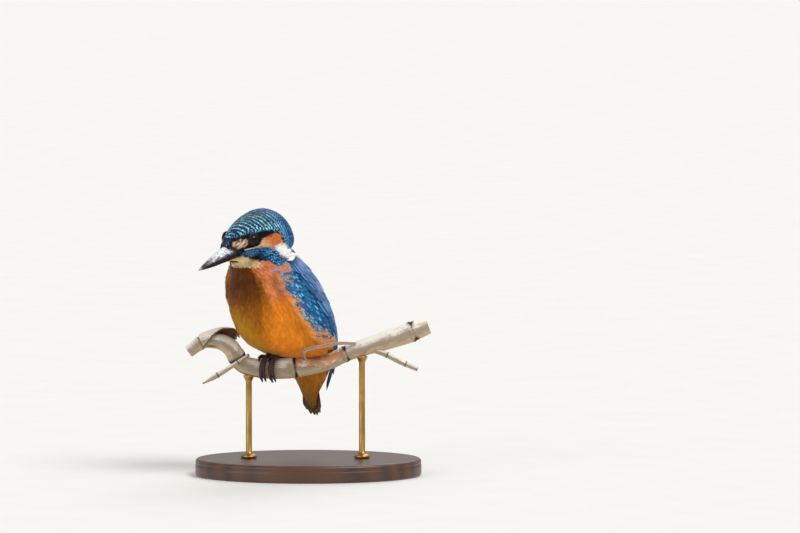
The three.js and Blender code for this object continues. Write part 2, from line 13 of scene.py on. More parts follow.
import bmesh
import bpy
import numpy as np
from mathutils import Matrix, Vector
from mathutils.bvhtree import BVHTree


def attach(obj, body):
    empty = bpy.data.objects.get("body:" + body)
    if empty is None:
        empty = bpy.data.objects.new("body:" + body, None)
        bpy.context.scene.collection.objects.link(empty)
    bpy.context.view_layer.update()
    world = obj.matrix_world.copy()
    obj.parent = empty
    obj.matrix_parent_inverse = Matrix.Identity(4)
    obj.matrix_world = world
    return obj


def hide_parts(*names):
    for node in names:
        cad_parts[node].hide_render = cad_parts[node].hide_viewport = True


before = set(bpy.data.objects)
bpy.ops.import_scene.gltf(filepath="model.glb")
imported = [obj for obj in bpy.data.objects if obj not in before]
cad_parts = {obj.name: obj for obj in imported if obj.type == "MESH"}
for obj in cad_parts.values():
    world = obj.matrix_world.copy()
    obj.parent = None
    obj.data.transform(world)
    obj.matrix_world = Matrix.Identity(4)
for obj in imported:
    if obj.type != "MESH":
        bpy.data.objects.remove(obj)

log = logging.getLogger("kingfisher")

MM = 0.001
RAD = math.pi / 180
TURN = 2 * math.pi
Array = np.ndarray

CONTROL_ROWS = 6  # rows of points that bend one feather to the body
PATCH = 0.003  # how much of the bake map one feather takes


# ------------------------------------------------------------------ small geometry


def unit(vectors: Array) -> Array:
    """Vectors along the last axis, made one long."""
    return vectors / np.maximum(np.linalg.norm(vectors, axis=-1, keepdims=True), 1e-9)


def ramp(value: Array, low: float, high: float) -> Array:
    """A smooth step from 0 at low to 1 at high, which may be the lower of the two."""
    share = np.clip((value - low) / (high - low), 0, 1)
    return share * share * (3 - 2 * share)


def blend(low: Any, high: Any, share: Array) -> Array:
    """Mixes two numbers, rows of numbers or colours by a share for each row."""
    part = np.asarray(share)
    for value in (low, high):
        if np.shape(value)[-1:] == (3,) and np.shape(value) != part.shape:
            return low + (high - low) * part[:, None]
    return low + (high - low) * part


def tone(red: float, green: float, blue: float) -> Array:
    """A colour given as screen values from 0 to 255, as linear light."""
    share = np.array([red, green, blue]) / 255
    return np.where(share <= 0.04045, share / 12.92, ((share + 0.055) / 1.055) ** 2.4)


def spline_weights(ways: Array, count: int) -> Array:
    """Catmull-Rom weights of evenly spaced knots.

    Args:
        ways: Places along the curve, from 0 to 1.
        count: How many knots the curve has.

    Returns:
        One row of count weights for each place.
    """
    ways = np.clip(np.asarray(ways, float), 0, 1) * (count - 1)
    first = np.minimum(ways.astype(int), count - 2)
    t = ways - first
    cubic = [
        -0.5 * t + t**2 - 0.5 * t**3,
        1 - 2.5 * t**2 + 1.5 * t**3,
        0.5 * t + 2 * t**2 - 1.5 * t**3,
        -0.5 * t**2 + 0.5 * t**3,
    ]
    weights = np.zeros((len(ways), count))
    rows = np.arange(len(ways))
    for offset, share in enumerate(cubic, -1):
        knot = first + offset
        under, over = knot < 0, knot > count - 1
        inside = ~(under | over)
        np.add.at(weights, (rows[inside], knot[inside]), share[inside])
        for outside, end, inner in ((under, 0, 1), (over, count - 1, count - 2)):
            np.add.at(weights, (rows[outside], np.full(outside.sum(), end)), 2 * share[outside])
            np.add.at(weights, (rows[outside], np.full(outside.sum(), inner)), -share[outside])
    return weights


def spline(knots: Array, ways: Array) -> Array:
    """Points on the Catmull-Rom curve through rows of knots."""
    knots = np.asarray(knots, float)
    return spline_weights(ways, len(knots)) @ knots


def lengths_along(line: Array) -> Array:
    """How far each point of a line lies from its start, along the line."""
    return np.r_[0, np.cumsum(np.linalg.norm(np.diff(line, axis=0), axis=1))]


def rolled(along: Array, turns: Array, radius: float = 1) -> Array:
    """Points on a straight round rod along X, ring by ring.

    Args:
        along: Where each ring lies.
        turns: The way round of each point, in radians.
        radius: The rod's radius.

    Returns:
        One row for each point.
    """
    places = np.broadcast_arrays(along[:, None], radius * np.cos(turns), radius * np.sin(turns))
    return np.stack(places, -1).reshape(-1, 3)


def upright(x: Array, z: Array) -> Array:
    """Points or directions in the plane where y is 0."""
    return np.stack([x, np.zeros_like(x), z], 1)


def even_spline(knots: Array, count: int) -> Array:
    """Points at even lengths along the curve through some knots."""
    dense = spline(knots, np.linspace(0, 1, 40 * len(knots)))
    reach = lengths_along(dense)
    even = np.linspace(0, reach[-1], count)
    return np.stack([np.interp(even, reach, dense[:, k]) for k in range(dense.shape[1])], 1)


def wave(points: Array, scale: float, seed: int, octaves: int = 3) -> Array:
    """Smooth noise from about -1 to 1, as a sum of sine waves in seeded directions.

    Args:
        points: Places in space.
        scale: Length of the longest waves.
        seed: Chooses the directions.
        octaves: How many times the waves halve.

    Returns:
        One value for each place.
    """
    chance = np.random.default_rng(seed)
    total = np.zeros(len(points))
    for octave in range(octaves):
        for _ in range(4):
            direction = unit(chance.normal(size=points.shape[1]))
            phase = chance.uniform(0, TURN)
            pitch = scale * chance.uniform(0.7, 1.3) / 2**octave
            total += np.sin(points @ direction * TURN / pitch + phase) / 2**octave
    return total / 4


@dataclass(frozen=True)
class Placement:
    """Where a frame of its own lies in another: an origin and three axes as columns."""

    origin: Array
    axes: Array

    @staticmethod
    def turned(origin: Sequence[float], yaw: float, pitch: float = 0) -> "Placement":
        """A frame turned about Z by yaw, and then nose down by pitch, in degrees."""
        cy, sy = math.cos(yaw * RAD), math.sin(yaw * RAD)
        cp, sp = math.cos(pitch * RAD), math.sin(pitch * RAD)
        about_z = np.array([[cy, -sy, 0], [sy, cy, 0], [0, 0, 1]])
        about_y = np.array([[cp, 0, sp], [0, 1, 0], [-sp, 0, cp]])
        return Placement(np.array(origin, float), about_z @ about_y)

    def out(self, points: Array) -> Array:
        """Points of this frame, in the frame around it."""
        return np.asarray(points, float) @ self.axes.T + self.origin

    def out_along(self, directions: Array) -> Array:
        """Directions of this frame, in the frame around it."""
        return np.asarray(directions, float) @ self.axes.T

    def into(self, points: Array) -> Array:
        """Points of the frame around it, in this frame."""
        return (np.asarray(points, float) - self.origin) @ self.axes


BIRD = Placement.turned((-12.2, 3, 0), 225)
HEAD = Placement.turned((26.6, 0, 122), 9, 14)  # in the bird's frame


# ------------------------------------------------------------------ shader graphs


class Wire:
    """A socket of a material that takes part in arithmetic."""

    def __init__(self, graph: "Graph", socket: bpy.types.NodeSocket) -> None:
        """Wraps one output socket of a graph."""
        self.graph = graph
        self.socket = socket

    def _math(self, operation: str, *values: Any) -> "Wire":
        """One Math node on some values."""
        return self.graph.add("ShaderNodeMath", {"operation": operation}, dict(enumerate(values)))

    def __add__(self, other: Any) -> "Wire":
        """The sum."""
        return self._math("ADD", self, other)

    __radd__ = __add__

    def __sub__(self, other: Any) -> "Wire":
        """The difference."""
        return self._math("SUBTRACT", self, other)

    def __rsub__(self, other: Any) -> "Wire":
        """The difference, from a plain number."""
        return self._math("SUBTRACT", other, self)

    def __mul__(self, other: Any) -> "Wire":
        """The product."""
        return self._math("MULTIPLY", self, other)

    __rmul__ = __mul__

    def __pow__(self, power: float) -> "Wire":
        """The value to a power."""
        return self._math("POWER", self, power)

    def absolute(self) -> "Wire":
        """The size of the value."""
        return self._math("ABSOLUTE", self)

    def sine(self) -> "Wire":
        """The sine of the value."""
        return self._math("SINE", self)

    def clamped(self) -> "Wire":
        """The value, held between 0 and 1."""
        return self._math("MINIMUM", self._math("MAXIMUM", self, 0.0), 1.0)

    def step(self, low: float, high: float) -> "Wire":
        """A smooth step from 0 at low to 1 at high."""
        return self.graph.add(
            "ShaderNodeMapRange",
            {"interpolation_type": "SMOOTHSTEP"},
            {"Value": self, "From Min": low, "From Max": high},
        )


class Graph:
    """The nodes of one material."""

    def __init__(self, name: str) -> None:
        """Starts an empty material."""
        self.material = bpy.data.materials.new(name)
        self.material.use_nodes = True
        self.tree = self.material.node_tree
        self.tree.nodes.clear()

    @staticmethod
    def _socket(sockets: Any, key: int | str) -> bpy.types.NodeSocket:
        """A socket by its number, identifier or name."""
        if isinstance(key, int):
            return sockets[key]
        for found in sockets:
            if found.identifier == key:
                return found
        return sockets[key]

    def add(
        self,
        kind: str,
        settings: dict[str, Any] | None = None,
        inputs: dict[int | str, Any] | None = None,
        output: int | str = 0,
    ) -> Wire:
        """Adds one node.

        Args:
            kind: The node's type.
            settings: Its properties.
            inputs: Values or wires for its sockets.
            output: Which of its outputs to return.

        Returns:
            That output.
        """
        node = self.tree.nodes.new(kind)
        for key, value in (settings or {}).items():
            setattr(node, key, value)
        for key, value in (inputs or {}).items():
            socket = self._socket(node.inputs, key)
            if isinstance(value, Wire):
                self.tree.links.new(value.socket, socket)
            elif isinstance(value, np.ndarray) and socket.type == "RGBA":
                socket.default_value = (*value, 1)
            else:
                socket.default_value = value
        return Wire(self, self._socket(node.outputs, output))

    def mix(self, low: Any, high: Any, share: Any, how: str = "MIX") -> Wire:
        """Mixes two colours by a share."""
        return self.add(
            "ShaderNodeMix",
            {"data_type": "RGBA", "blend_type": how},
            {"Factor_Float": share, "A_Color": low, "B_Color": high},
            "Result_Color",
        )

    def shade(self, colour: Any, value: Wire) -> Wire:
        """Multiplies a colour by a value."""
        return self.mix(colour, value, 1.0, "MULTIPLY")

    def parts(self, vector: Wire) -> tuple[Wire, Wire, Wire]:
        """The three numbers of a vector."""
        first = self.add("ShaderNodeSeparateXYZ", None, {0: vector})
        outputs = first.socket.node.outputs
        return first, Wire(self, outputs[1]), Wire(self, outputs[2])

    def attribute(self, name: str, output: str = "Vector") -> Wire:
        """A value stored on the mesh."""
        return self.add("ShaderNodeAttribute", {"attribute_name": name}, None, output)

    def place(self) -> Wire:
        """The point's own place on the object, in metres."""
        return self.add("ShaderNodeTexCoord", None, None, "Object")

    def stretched(self, vector: Wire, scale: Sequence[float]) -> Wire:
        """A vector scaled along each axis."""
        return self.add(
            "ShaderNodeVectorMath", {"operation": "MULTIPLY"}, {0: vector, 1: tuple(scale)}
        )

    def noise(self, vector: Wire, scale: float, detail: float = 3, rough: float = 0.5) -> Wire:
        """Noise from 0 to 1."""
        return self.add(
            "ShaderNodeTexNoise",
            None,
            {"Vector": vector, "Scale": scale, "Detail": detail, "Roughness": rough},
        )

    def surface(
        self,
        colour: Any,
        rough: Any,
        height: Wire | None = None,
        relief: float = 0.1,
        **constants: float,
    ) -> bpy.types.Material:
        """Finishes the material with a Principled shader.

        Args:
            colour: Base colour.
            rough: Roughness.
            height: Relief from 0 to 1, or None for a smooth surface.
            relief: Depth of that relief in millimetres.
            **constants: Plain values of other sockets, with _ for a space.

        Returns:
            The material.
        """
        inputs: dict[int | str, Any] = {"Base Color": colour, "Roughness": rough}
        for key, value in constants.items():
            inputs[key.replace("_", " ").title().replace("Ior", "IOR")] = value
        if height is not None:
            inputs["Normal"] = self.add(
                "ShaderNodeBump", None, {"Height": height, "Distance": relief * MM, "Strength": 1.0}
            )
        return self.finished(self.add("ShaderNodeBsdfPrincipled", None, inputs))

    def finished(self, shader: Wire) -> bpy.types.Material:
        """Sends a shader to the material's output, and gives the material."""
        output = self.tree.nodes.new("ShaderNodeOutputMaterial")
        self.tree.links.new(shader.socket, output.inputs["Surface"])
        return self.material


# ------------------------------------------------------------------ pieces


class Slot(Enum):
    """The record's material slots."""

    BLUE = "blue_feathers"
    ORANGE = "orange_feathers"
    PALE = "pale_feathers"
    TAIL = "tail_feathers"
    EYE = "eye"
    BILL = "bill"
    FOOT = "foot_skin"
    CLAW = "claw"
    REED = "reed"
    SHEATH = "reed_sheath"
    WOOD = "dark_wood"
    BRASS = "brass"


@dataclass
class Shape:
    """Points and triangles of one piece, with the values its material reads.

    Attributes:
        points: One row for each vertex, in millimetres in the shared frame.
        faces: Three vertex numbers for each triangle.
        values: Rows of three or four numbers for each vertex, by name.
        spots: Each vertex's place on the bake map, or None.
    """

    points: Array
    faces: Array
    values: dict[str, Array] = field(default_factory=dict)
    spots: Array | None = None

    @staticmethod
    def joined(shapes: Sequence["Shape"]) -> "Shape":
        """Several shapes as one."""
        starts = np.cumsum([0] + [len(shape.points) for shape in shapes[:-1]])
        spots = None
        if shapes[0].spots is not None:
            spots = np.concatenate([shape.spots for shape in shapes])
        return Shape(
            np.concatenate([shape.points for shape in shapes]),
            np.concatenate([shape.faces + start for shape, start in zip(shapes, starts)]),
            {
                name: np.concatenate([shape.values[name] for shape in shapes])
                for name in shapes[0].values
            },
            spots,
        )

    def store(self, name: str, *columns: Any) -> None:
        """Stores up to three values for each vertex; those past a column's end stay 0."""
        rows = np.zeros((len(self.points), 3))
        for index, column in enumerate(columns):
            flat = np.ravel(column)
            rows[: len(flat), index] = flat
        self.values[name] = rows

    def mirrored(self) -> "Shape":
        """The same shape on the bird's other side, when its points are in the bird's frame."""
        return Shape(self.points * [1, -1, 1], self.faces[:, ::-1], dict(self.values), self.spots)

    def placed(self, placement: Placement) -> "Shape":
        """The shape carried out of a frame of its own."""
        return Shape(placement.out(self.points), self.faces, self.values, self.spots)

    def piece(
        self, name: str, material: bpy.types.Material, slot: Slot, stands_for: Sequence[str] = ()
    ) -> bpy.types.Object:
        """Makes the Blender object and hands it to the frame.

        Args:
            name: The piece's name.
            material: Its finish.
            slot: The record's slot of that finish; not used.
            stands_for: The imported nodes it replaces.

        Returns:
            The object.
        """
        mesh = bpy.data.meshes.new(name)
        count = len(self.faces)
        mesh.vertices.add(len(self.points))
        mesh.vertices.foreach_set("co", (self.points * MM).astype(np.float32).ravel())
        mesh.loops.add(3 * count)
        mesh.loops.foreach_set("vertex_index", self.faces.astype(np.int32).ravel())
        mesh.polygons.add(count)
        mesh.polygons.foreach_set("loop_start", np.arange(0, 3 * count, 3, dtype=np.int32))
        for key, rows in self.values.items():
            kind, key_name = ("COLOR", "color") if rows.shape[1] == 4 else ("VECTOR", "vector")
            layer = mesh.attributes.new(key, f"FLOAT_{kind}", "POINT")
            layer.data.foreach_set(key_name, rows.astype(np.float32).ravel())
        if self.spots is not None:
            layer = mesh.uv_layers.new(name="OFBake")
            layer.data.foreach_set("uv", self.spots[self.faces.ravel()].astype(np.float32).ravel())
        mesh.update(calc_edges=True)
        mesh.validate()
        mesh.shade_smooth()
        mesh.materials.append(material)
        made = bpy.data.objects.new(name, mesh)
        bpy.context.scene.collection.objects.link(made)
        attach(made, "root")
        if stands_for:
            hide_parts(*stands_for)
        log.info("%s: %d triangles", name, count)
        return made


def grid_faces(rows: int, columns: int, closed: bool = False) -> Array:
    """Triangles over a grid of points, row by row; closed joins its last column to its first."""
    faces = []
    for i in range(rows - 1):
        for k in range(columns if closed else columns - 1):
            a, b = i * columns + k, i * columns + (k + 1) % columns
            faces += [(a, b, b + columns), (a, b + columns, a + columns)]
    return np.array(faces)


def loft(rings: Array) -> Shape:
    """A closed body through rings of points, with a fan over each end.

    Args:
        rings: Points by ring, place round it and axis.

    Returns:
        The body, its faces turned outwards.
    """
    rows, columns = rings.shape[:2]
    points = np.concatenate([rings.reshape(-1, 3), rings[:1].mean(1), rings[-1:].mean(1)])
    faces = grid_faces(rows, columns, closed=True)
    around = np.arange(columns)
    following = (around + 1) % columns
    last = (rows - 1) * columns
    first_cap = np.stack([following, around, np.full(columns, rows * columns)], 1)
    last_cap = np.stack([last + around, last + following, np.full(columns, rows * columns + 1)], 1)
    faces = np.concatenate([faces, first_cap, last_cap])
    a, b, c = (points[faces[:, k]] for k in range(3))
    if np.einsum("ij,ij->i", np.cross(a, b), c).sum() < 0:
        faces = faces[:, ::-1]
    return Shape(points, faces)


def tube(line: Array, radii: Array, sides: int, up: Sequence[float] = (0, 0, 1)) -> Shape:
    """A round tube along a line of points, with a radius at each.

    Its "stem" values are the length along it, and the cosine and sine of the way round.
    """
    along = unit(np.gradient(line, axis=0))
    across = unit(np.cross(along, np.array(up, float)))
    over = np.cross(across, along)
    angles = np.arange(sides) * TURN / sides
    radii = np.broadcast_to(np.asarray(radii, float).T, (sides, len(line))).T
    rings = line[:, None] + radii[..., None] * (
        over[:, None] * np.cos(angles)[None, :, None]
        + across[:, None] * np.sin(angles)[None, :, None]
    )
    made = loft(rings)
    reach = lengths_along(line)
    made.store("stem", *rolled(reach, angles).T)
    made.values["stem"][-1, 0] = reach[-1]
    return made


# ------------------------------------------------------------------ the bird's form


class Hull:
    """The bird's outer form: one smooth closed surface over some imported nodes.

    Attributes:
        points: Its vertices, in the bird's frame.
        quads: Its faces.
        normals: Its vertex normals.
    """

    def __init__(self, names: Sequence[str], voxel: float = 0.75, grow: float = 0.25) -> None:
        """Joins copies of the nodes and smooths their joints away.

        Args:
            names: The nodes to join.
            voxel: The size of the surface's faces.
            grow: How much each node swells, to close the gaps between them.
        """
        whole = bmesh.new()
        for name in names:
            part = bmesh.new()
            part.from_mesh(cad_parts[name].data)
            bmesh.ops.remove_doubles(part, verts=part.verts, dist=1e-6)
            bmesh.ops.recalc_face_normals(part, faces=part.faces)
            part.normal_update()
            for vertex in part.verts:
                vertex.co += vertex.normal * grow * MM
            mesh = bpy.data.meshes.new("swollen")
            part.to_mesh(mesh)
            whole.from_mesh(mesh)
            part.free()
            bpy.data.meshes.remove(mesh)
        mesh = bpy.data.meshes.new("joined")
        whole.to_mesh(mesh)
        whole.free()
        made = bpy.data.objects.new("joined", mesh)
        bpy.context.scene.collection.objects.link(made)
        remesh = made.modifiers.new("remesh", "REMESH")
        remesh.mode = "VOXEL"
        remesh.voxel_size = voxel * MM
        solved = made.evaluated_get(bpy.context.evaluated_depsgraph_get()).to_mesh()
        points = np.zeros(3 * len(solved.vertices))
        solved.vertices.foreach_get("co", points)
        self.points = BIRD.into(points.reshape(-1, 3) / MM)
        self.quads = np.array([tuple(face.vertices) for face in solved.polygons if len(face.vertices) == 4])
        bpy.data.objects.remove(made)
        bpy.data.meshes.remove(mesh)
        self._keep_largest()
        self._smooth(14)
        self.points -= self._vertex_normals() * grow
        self.normals = self._vertex_normals()
        self.face_normals = [Vector(row) for row in unit(self.normals[self.quads].mean(1))]
        self.tree = BVHTree.FromPolygons(self.points.tolist(), self.quads.tolist())

    def _keep_largest(self) -> None:
        """Drops the small closed pockets that the joining leaves inside."""
        label = np.arange(len(self.points))
        for _ in range(400):
            low = label[self.quads].min(1)
            new = label.copy()
            for k in range(4):
                np.minimum.at(new, self.quads[:, k], low)
            new = new[new]
            if (new == label).all():
                break
            label = new
        kept = np.bincount(label).argmax()
        inside = label == kept
        number = np.cumsum(inside) - 1
        self.quads = number[self.quads[inside[self.quads[:, 0]]]]
        self.points = self.points[inside]

    def _smooth(self, passes: int) -> None:
        """Evens the surface out without shrinking it."""
        pairs = np.concatenate([self.quads[:, [k, (k + 1) % 4]] for k in range(4)])
        count = np.bincount(pairs[:, 0], minlength=len(self.points))[:, None]
        for index in range(2 * passes):
            total = np.zeros_like(self.points)
            np.add.at(total, pairs[:, 0], self.points[pairs[:, 1]])
            share = -0.52 if index % 2 else 0.5
            self.points = self.points + share * (total / np.maximum(count, 1) - self.points)

    def _vertex_normals(self) -> Array:
        """Outward normals of the vertices."""
        a, b, c, d = (self.points[self.quads[:, k]] for k in range(4))
        flat = np.cross(c - a, d - b)
        total = np.zeros_like(self.points)
        for k in range(4):
            np.add.at(total, self.quads[:, k], flat)
        return unit(total)

    def near(self, place: Vector) -> tuple[Vector, Vector]:
        """The surface's nearest point, and its normal there."""
        point, _, index, _ = self.tree.find_nearest(place)
        return point, self.face_normals[index]

    def hit(self, start: Array, direction: Array) -> tuple[Array, Array] | None:
        """Where a ray first meets the surface, and the normal there."""
        point, _, index, _ = self.tree.ray_cast(Vector(start), Vector(direction))
        if point is None:
            return None
        return np.array(point), np.array(self.face_normals[index])

    def scatter(self, count: int, spacing: Callable[[Array], Array], seed: int) -> tuple[Array, Array]:
        """Random places on the surface, none nearer another than a spacing.

        Args:
            count: How many places to try.
            spacing: The spacing at each place, or 0 where none is wanted.
            seed: Chooses the places.

        Returns:
            The places kept, and the normals there.
        """
        chance = np.random.default_rng(seed)
        a, b, c, d = (self.points[self.quads[:, k]] for k in range(4))
        area = np.linalg.norm(np.cross(c - a, d - b), axis=1)
        face = chance.choice(len(self.quads), count, p=area / area.sum())
        u, v = chance.random((2, count, 1))
        places = (a[face] * (1 - u) + b[face] * u) * (1 - v) + (d[face] * (1 - u) + c[face] * u) * v
        gaps = spacing(places)
        cell = 2.0
        taken: dict[tuple[int, int, int], list[int]] = {}
        kept = []
        keys = np.floor(places / cell).astype(int).tolist()
        rows = places.tolist()
        for index, gap in enumerate(gaps.tolist()):
            if gap <= 0:
                continue
            x, y, z = keys[index]
            px, py, pz = rows[index]
            clear = True
            for near in self._cells(x, y, z):
                for other in taken.get(near, ()):
                    qx, qy, qz = rows[other]
                    if (px - qx) ** 2 + (py - qy) ** 2 + (pz - qz) ** 2 < gap * gap:
                        clear = False
                        break
                if not clear:
                    break
            if clear:
                taken.setdefault((x, y, z), []).append(index)
                kept.append(index)
        return places[kept], np.array([self.face_normals[i] for i in face[kept]])

    @staticmethod
    def _cells(x: int, y: int, z: int) -> list[tuple[int, int, int]]:
        """A cell and its neighbours."""
        near = (-1, 0, 1)
        return [(x + i, y + j, z + k) for i in near for j in near for k in near]

    def lay(self, roots: Array, headings: Array, lengths: Array, widths: Array) -> tuple[Array, Array]:
        """Bends rows of control points over the surface, one set for each feather.

        Args:
            roots: Where the feathers grow.
            headings: Which way they lie.
            lengths: How long they are.
            widths: Half their widths.

        Returns:
            Points and normals, by feather, row, column and axis.
        """
        points, normals = [], []
        for root, heading, length, width in zip(roots, headings, lengths, widths):
            place, normal = self.near(Vector(root))
            along = Vector(heading)
            stride = float(length) / (CONTROL_ROWS - 1)
            for _ in range(CONTROL_ROWS):
                along = (along - normal * along.dot(normal)).normalized()
                side = normal.cross(along) * float(width)
                for where in (place - side, place, place + side):
                    point, facing = self.near(where)
                    points.append(point[:])
                    normals.append(facing[:])
                place, normal = self.near(place + along * stride)
        form = (len(roots), CONTROL_ROWS, 3, 3)
        return np.array(points).reshape(form), np.array(normals).reshape(form)


# ------------------------------------------------------------------ feathers


@dataclass(frozen=True)
class Vane:
    """One feather's form, before it is bent to the body.

    Attributes:
        ways: Along it from 0 to 1 and across it from -1 to 1, for each vertex.
        over: 1 for vertices of its upper sheet and 0 for its lower one.
        faces: Its triangles.
    """

    ways: Array
    over: Array
    faces: Array

    @staticmethod
    def _sheets(ways: Array, faces: Array, edge: Array) -> "Vane":
        """Two sheets that meet along their edges."""
        count = len(ways)
        return Vane(
            np.concatenate([ways, ways]),
            np.concatenate([~edge, np.zeros(count, bool)]).astype(float),
            np.concatenate([faces, faces[:, ::-1] + count]),
        )

    @staticmethod
    def rounded(rows: int, columns: int, root: float, widest: float, blunt: float) -> "Vane":
        """A whole vane with a round tip.

        Args:
            rows: Rows of points along it.
            columns: Points across it.
            root: Its share of the full width at the root.
            widest: Where it is widest.
            blunt: Where the tip begins to round off.
        """
        along = np.sin(np.linspace(0, 1, rows) * math.pi / 2)
        across = np.linspace(-1, 1, columns)
        width = root + (1 - root) * np.sin(np.minimum(along / widest, 1) * math.pi / 2)
        tip = np.clip((along - blunt) / (1 - blunt), 0, 1)
        width = width * np.sqrt(np.maximum(1 - tip**2, 0.01))
        ways = np.stack(np.broadcast_arrays(along[:, None], across * width[:, None]), -1)
        edge = np.zeros((rows, columns), bool)
        edge[:, [0, -1]] = True
        edge[-1] = True
        return Vane._sheets(ways.reshape(-1, 2), grid_faces(rows, columns), edge.ravel())

    @staticmethod
    def frayed(barbs: int, aspect: float, spread: float = 1, fine: float = 1) -> "Vane":
        """A soft feather: loose barbs that fan out from its shaft.

        Args:
            barbs: How many barbs it has.
            aspect: Half its width over its length.
            spread: How far the outer barbs open.
            fine: How broad the barbs are, as a share of what closes the fan.
        """
        ways, faces, edge = [], [], []
        rows = 5
        for index in range(barbs):
            turn = 2 * index / (barbs - 1) - 1
            start = np.array([0.5 * (1 - abs(turn)), 0.0])
            end = np.array([1 - 0.42 * turn**2, turn * spread])
            end[0] *= 1 - 0.06 * ((index * 7) % 5) / 4
            share = np.linspace(0, 1, rows)[:, None]
            middle = start + (end - start) * np.hstack([share, share**0.75])
            heading = np.gradient(middle, axis=0) * [1, aspect]
            normal = unit(np.stack([-heading[:, 1], heading[:, 0]], 1)) / [1, aspect]
            half = fine * 1.15 * aspect / barbs * (1.25 - share) * (share < 0.99)
            first = len(ways)
            for row in range(rows - 1):
                ways += [middle[row] - normal[row] * half[row], middle[row] + normal[row] * half[row]]
                edge += [True, True]
            ways.append(middle[-1])
            edge.append(True)
            for row in range(rows - 2):
                a = first + 2 * row
                faces += [(a, a + 1, a + 3), (a, a + 3, a + 2)]
            faces.append((first + 2 * rows - 4, first + 2 * rows - 3, first + 2 * rows - 2))
        made = Vane._sheets(np.array(ways), np.array(faces), np.array(edge))
        made.over[: len(ways)] = 0.6
        return made


@dataclass
class Plumes:
    """Where and how a group of like feathers lies.

    Attributes:
        control: Points they are bent over, by feather, row, column and axis.
        normals: The normals there.
        length: Their lengths.
        sink: How deep their roots lie.
        lift: How far their tips stand off.
        dome: How much their middles stand over their edges.
        thick: Their thickness.
        stack: How far each may lie over or under its neighbours.
    """

    control: Array
    normals: Array
    length: Array
    sink: Array
    lift: Array
    dome: float = 0.1
    thick: float = 0.07
    stack: float = 0.04

    def shape(self, vane: Vane, paint: "Paint", spots: Array, seed: int) -> Shape:
        """Lays one vane over every set of control points.

        Args:
            vane: The feather's form.
            paint: Its colours.
            spots: Each feather's place on the bake map.
            seed: Chooses each feather's small differences.

        Returns:
            All of them as one shape, in the frame of the control points.
        """
        count, size = len(self.control), len(vane.ways)
        s, t = vane.ways.T
        rows = spline_weights(s, CONTROL_ROWS)
        columns = np.stack([t * (t - 1) / 2, 1 - t * t, t * (t + 1) / 2], 1)
        weights = (rows[:, :, None] * columns[:, None, :]).reshape(size, -1)
        points = np.einsum("vk,nkx->nvx", weights, self.control.reshape(count, -1, 3))
        facing = unit(np.einsum("vk,nkx->nvx", weights, self.normals.reshape(count, -1, 3)))
        chance = np.random.default_rng(seed)
        stacked = chance.uniform(-self.stack, self.stack, (count, 1))
        rise = -self.sink[:, None] + (self.sink + self.lift)[:, None] * np.clip(s, 0, 1)[None] ** 0.9
        height = rise + stacked + (self.dome * (1 - t * t) + self.thick * vane.over)[None]
        points = points + facing * height[..., None]
        faces = vane.faces[None] + (np.arange(count) * size)[:, None, None]
        lot = chance.random(count)
        values = {
            "plume": np.repeat(np.hstack([paint.base, lot[:, None]]), size, 0),
            "accent": np.repeat(np.hstack([paint.accent, self.length[:, None] / 20]), size, 0),
            "vane": np.hstack(
                [np.tile(np.stack([s, t], 1), (count, 1)), np.repeat(paint.soft, size)[:, None]]
            ),
            "mark": np.repeat(np.hstack([paint.marks, np.ones((count, 1))]), size, 0),
        }
        patch = (np.stack([t, 2 * s - 1], 1) * PATCH / 2)[None] + spots[:, None]
        return Shape(points.reshape(-1, 3), faces.reshape(-1, 3), values, patch.reshape(-1, 2))


# ------------------------------------------------------------------ markings


@dataclass
class Paint:
    """The colours of some feathers.

    Attributes:
        base: Their ground colour.
        accent: The colour of their bars, spots or edges.
        marks: The strength of the bar, of the spot and of the pale edge.
        soft: 1 where the feathers run together and 0 where each one shows.
    """

    base: Array
    accent: Array
    marks: Array
    soft: Array

    @staticmethod
    def plain(count: int, base: Array) -> "Paint":
        """One colour for all."""
        return Paint(
            np.tile(base, (count, 1)), np.tile(base, (count, 1)), np.zeros((count, 3)), np.ones(count)
        )

    @staticmethod
    def crisp(count: int, base: Array, accent: Array, marks: Sequence[float]) -> "Paint":
        """One look for all, in which each feather shows."""
        base, accent, marks = (np.tile(row, (count, 1)) for row in (base, accent, marks))
        return Paint(base, accent, marks, np.zeros(count))

    def lay(
        self,
        share: Array,
        base: Array,
        accent: Array | None = None,
        marks: Sequence[float] = (0, 0, 0),
        soft: float = 1,
    ) -> None:
        """Lays a colour over what is there, by a share for each feather."""
        self.base = blend(self.base, base, share)
        self.accent = blend(self.accent, base if accent is None else accent, share)
        self.marks = blend(self.marks, np.array(marks, float), share)
        self.soft = self.soft + (soft - self.soft) * share


def band(points: Array, line: Sequence[Sequence[float]]) -> Array:
    """How deep points lie in a band: a line of places, each with half the band's width."""
    line = np.array(line, float)
    deepest = np.full(len(points), -1e9)
    for start, end in zip(line[:-1], line[1:]):
        way = end[:2] - start[:2]
        share = np.clip(((points - start[:2]) @ way) / (way @ way), 0, 1)
        off = np.linalg.norm(points - (start[:2] + share[:, None] * way), axis=1)
        deepest = np.maximum(deepest, start[2] + (end[2] - start[2]) * share - off)
    return deepest


def curve(value: Array, table: Sequence[Sequence[float]]) -> Array:
    """A table of places and values, read between its rows."""
    rows = np.array(sorted(map(tuple, table)))
    return np.interp(value, rows[:, 0], rows[:, 1])


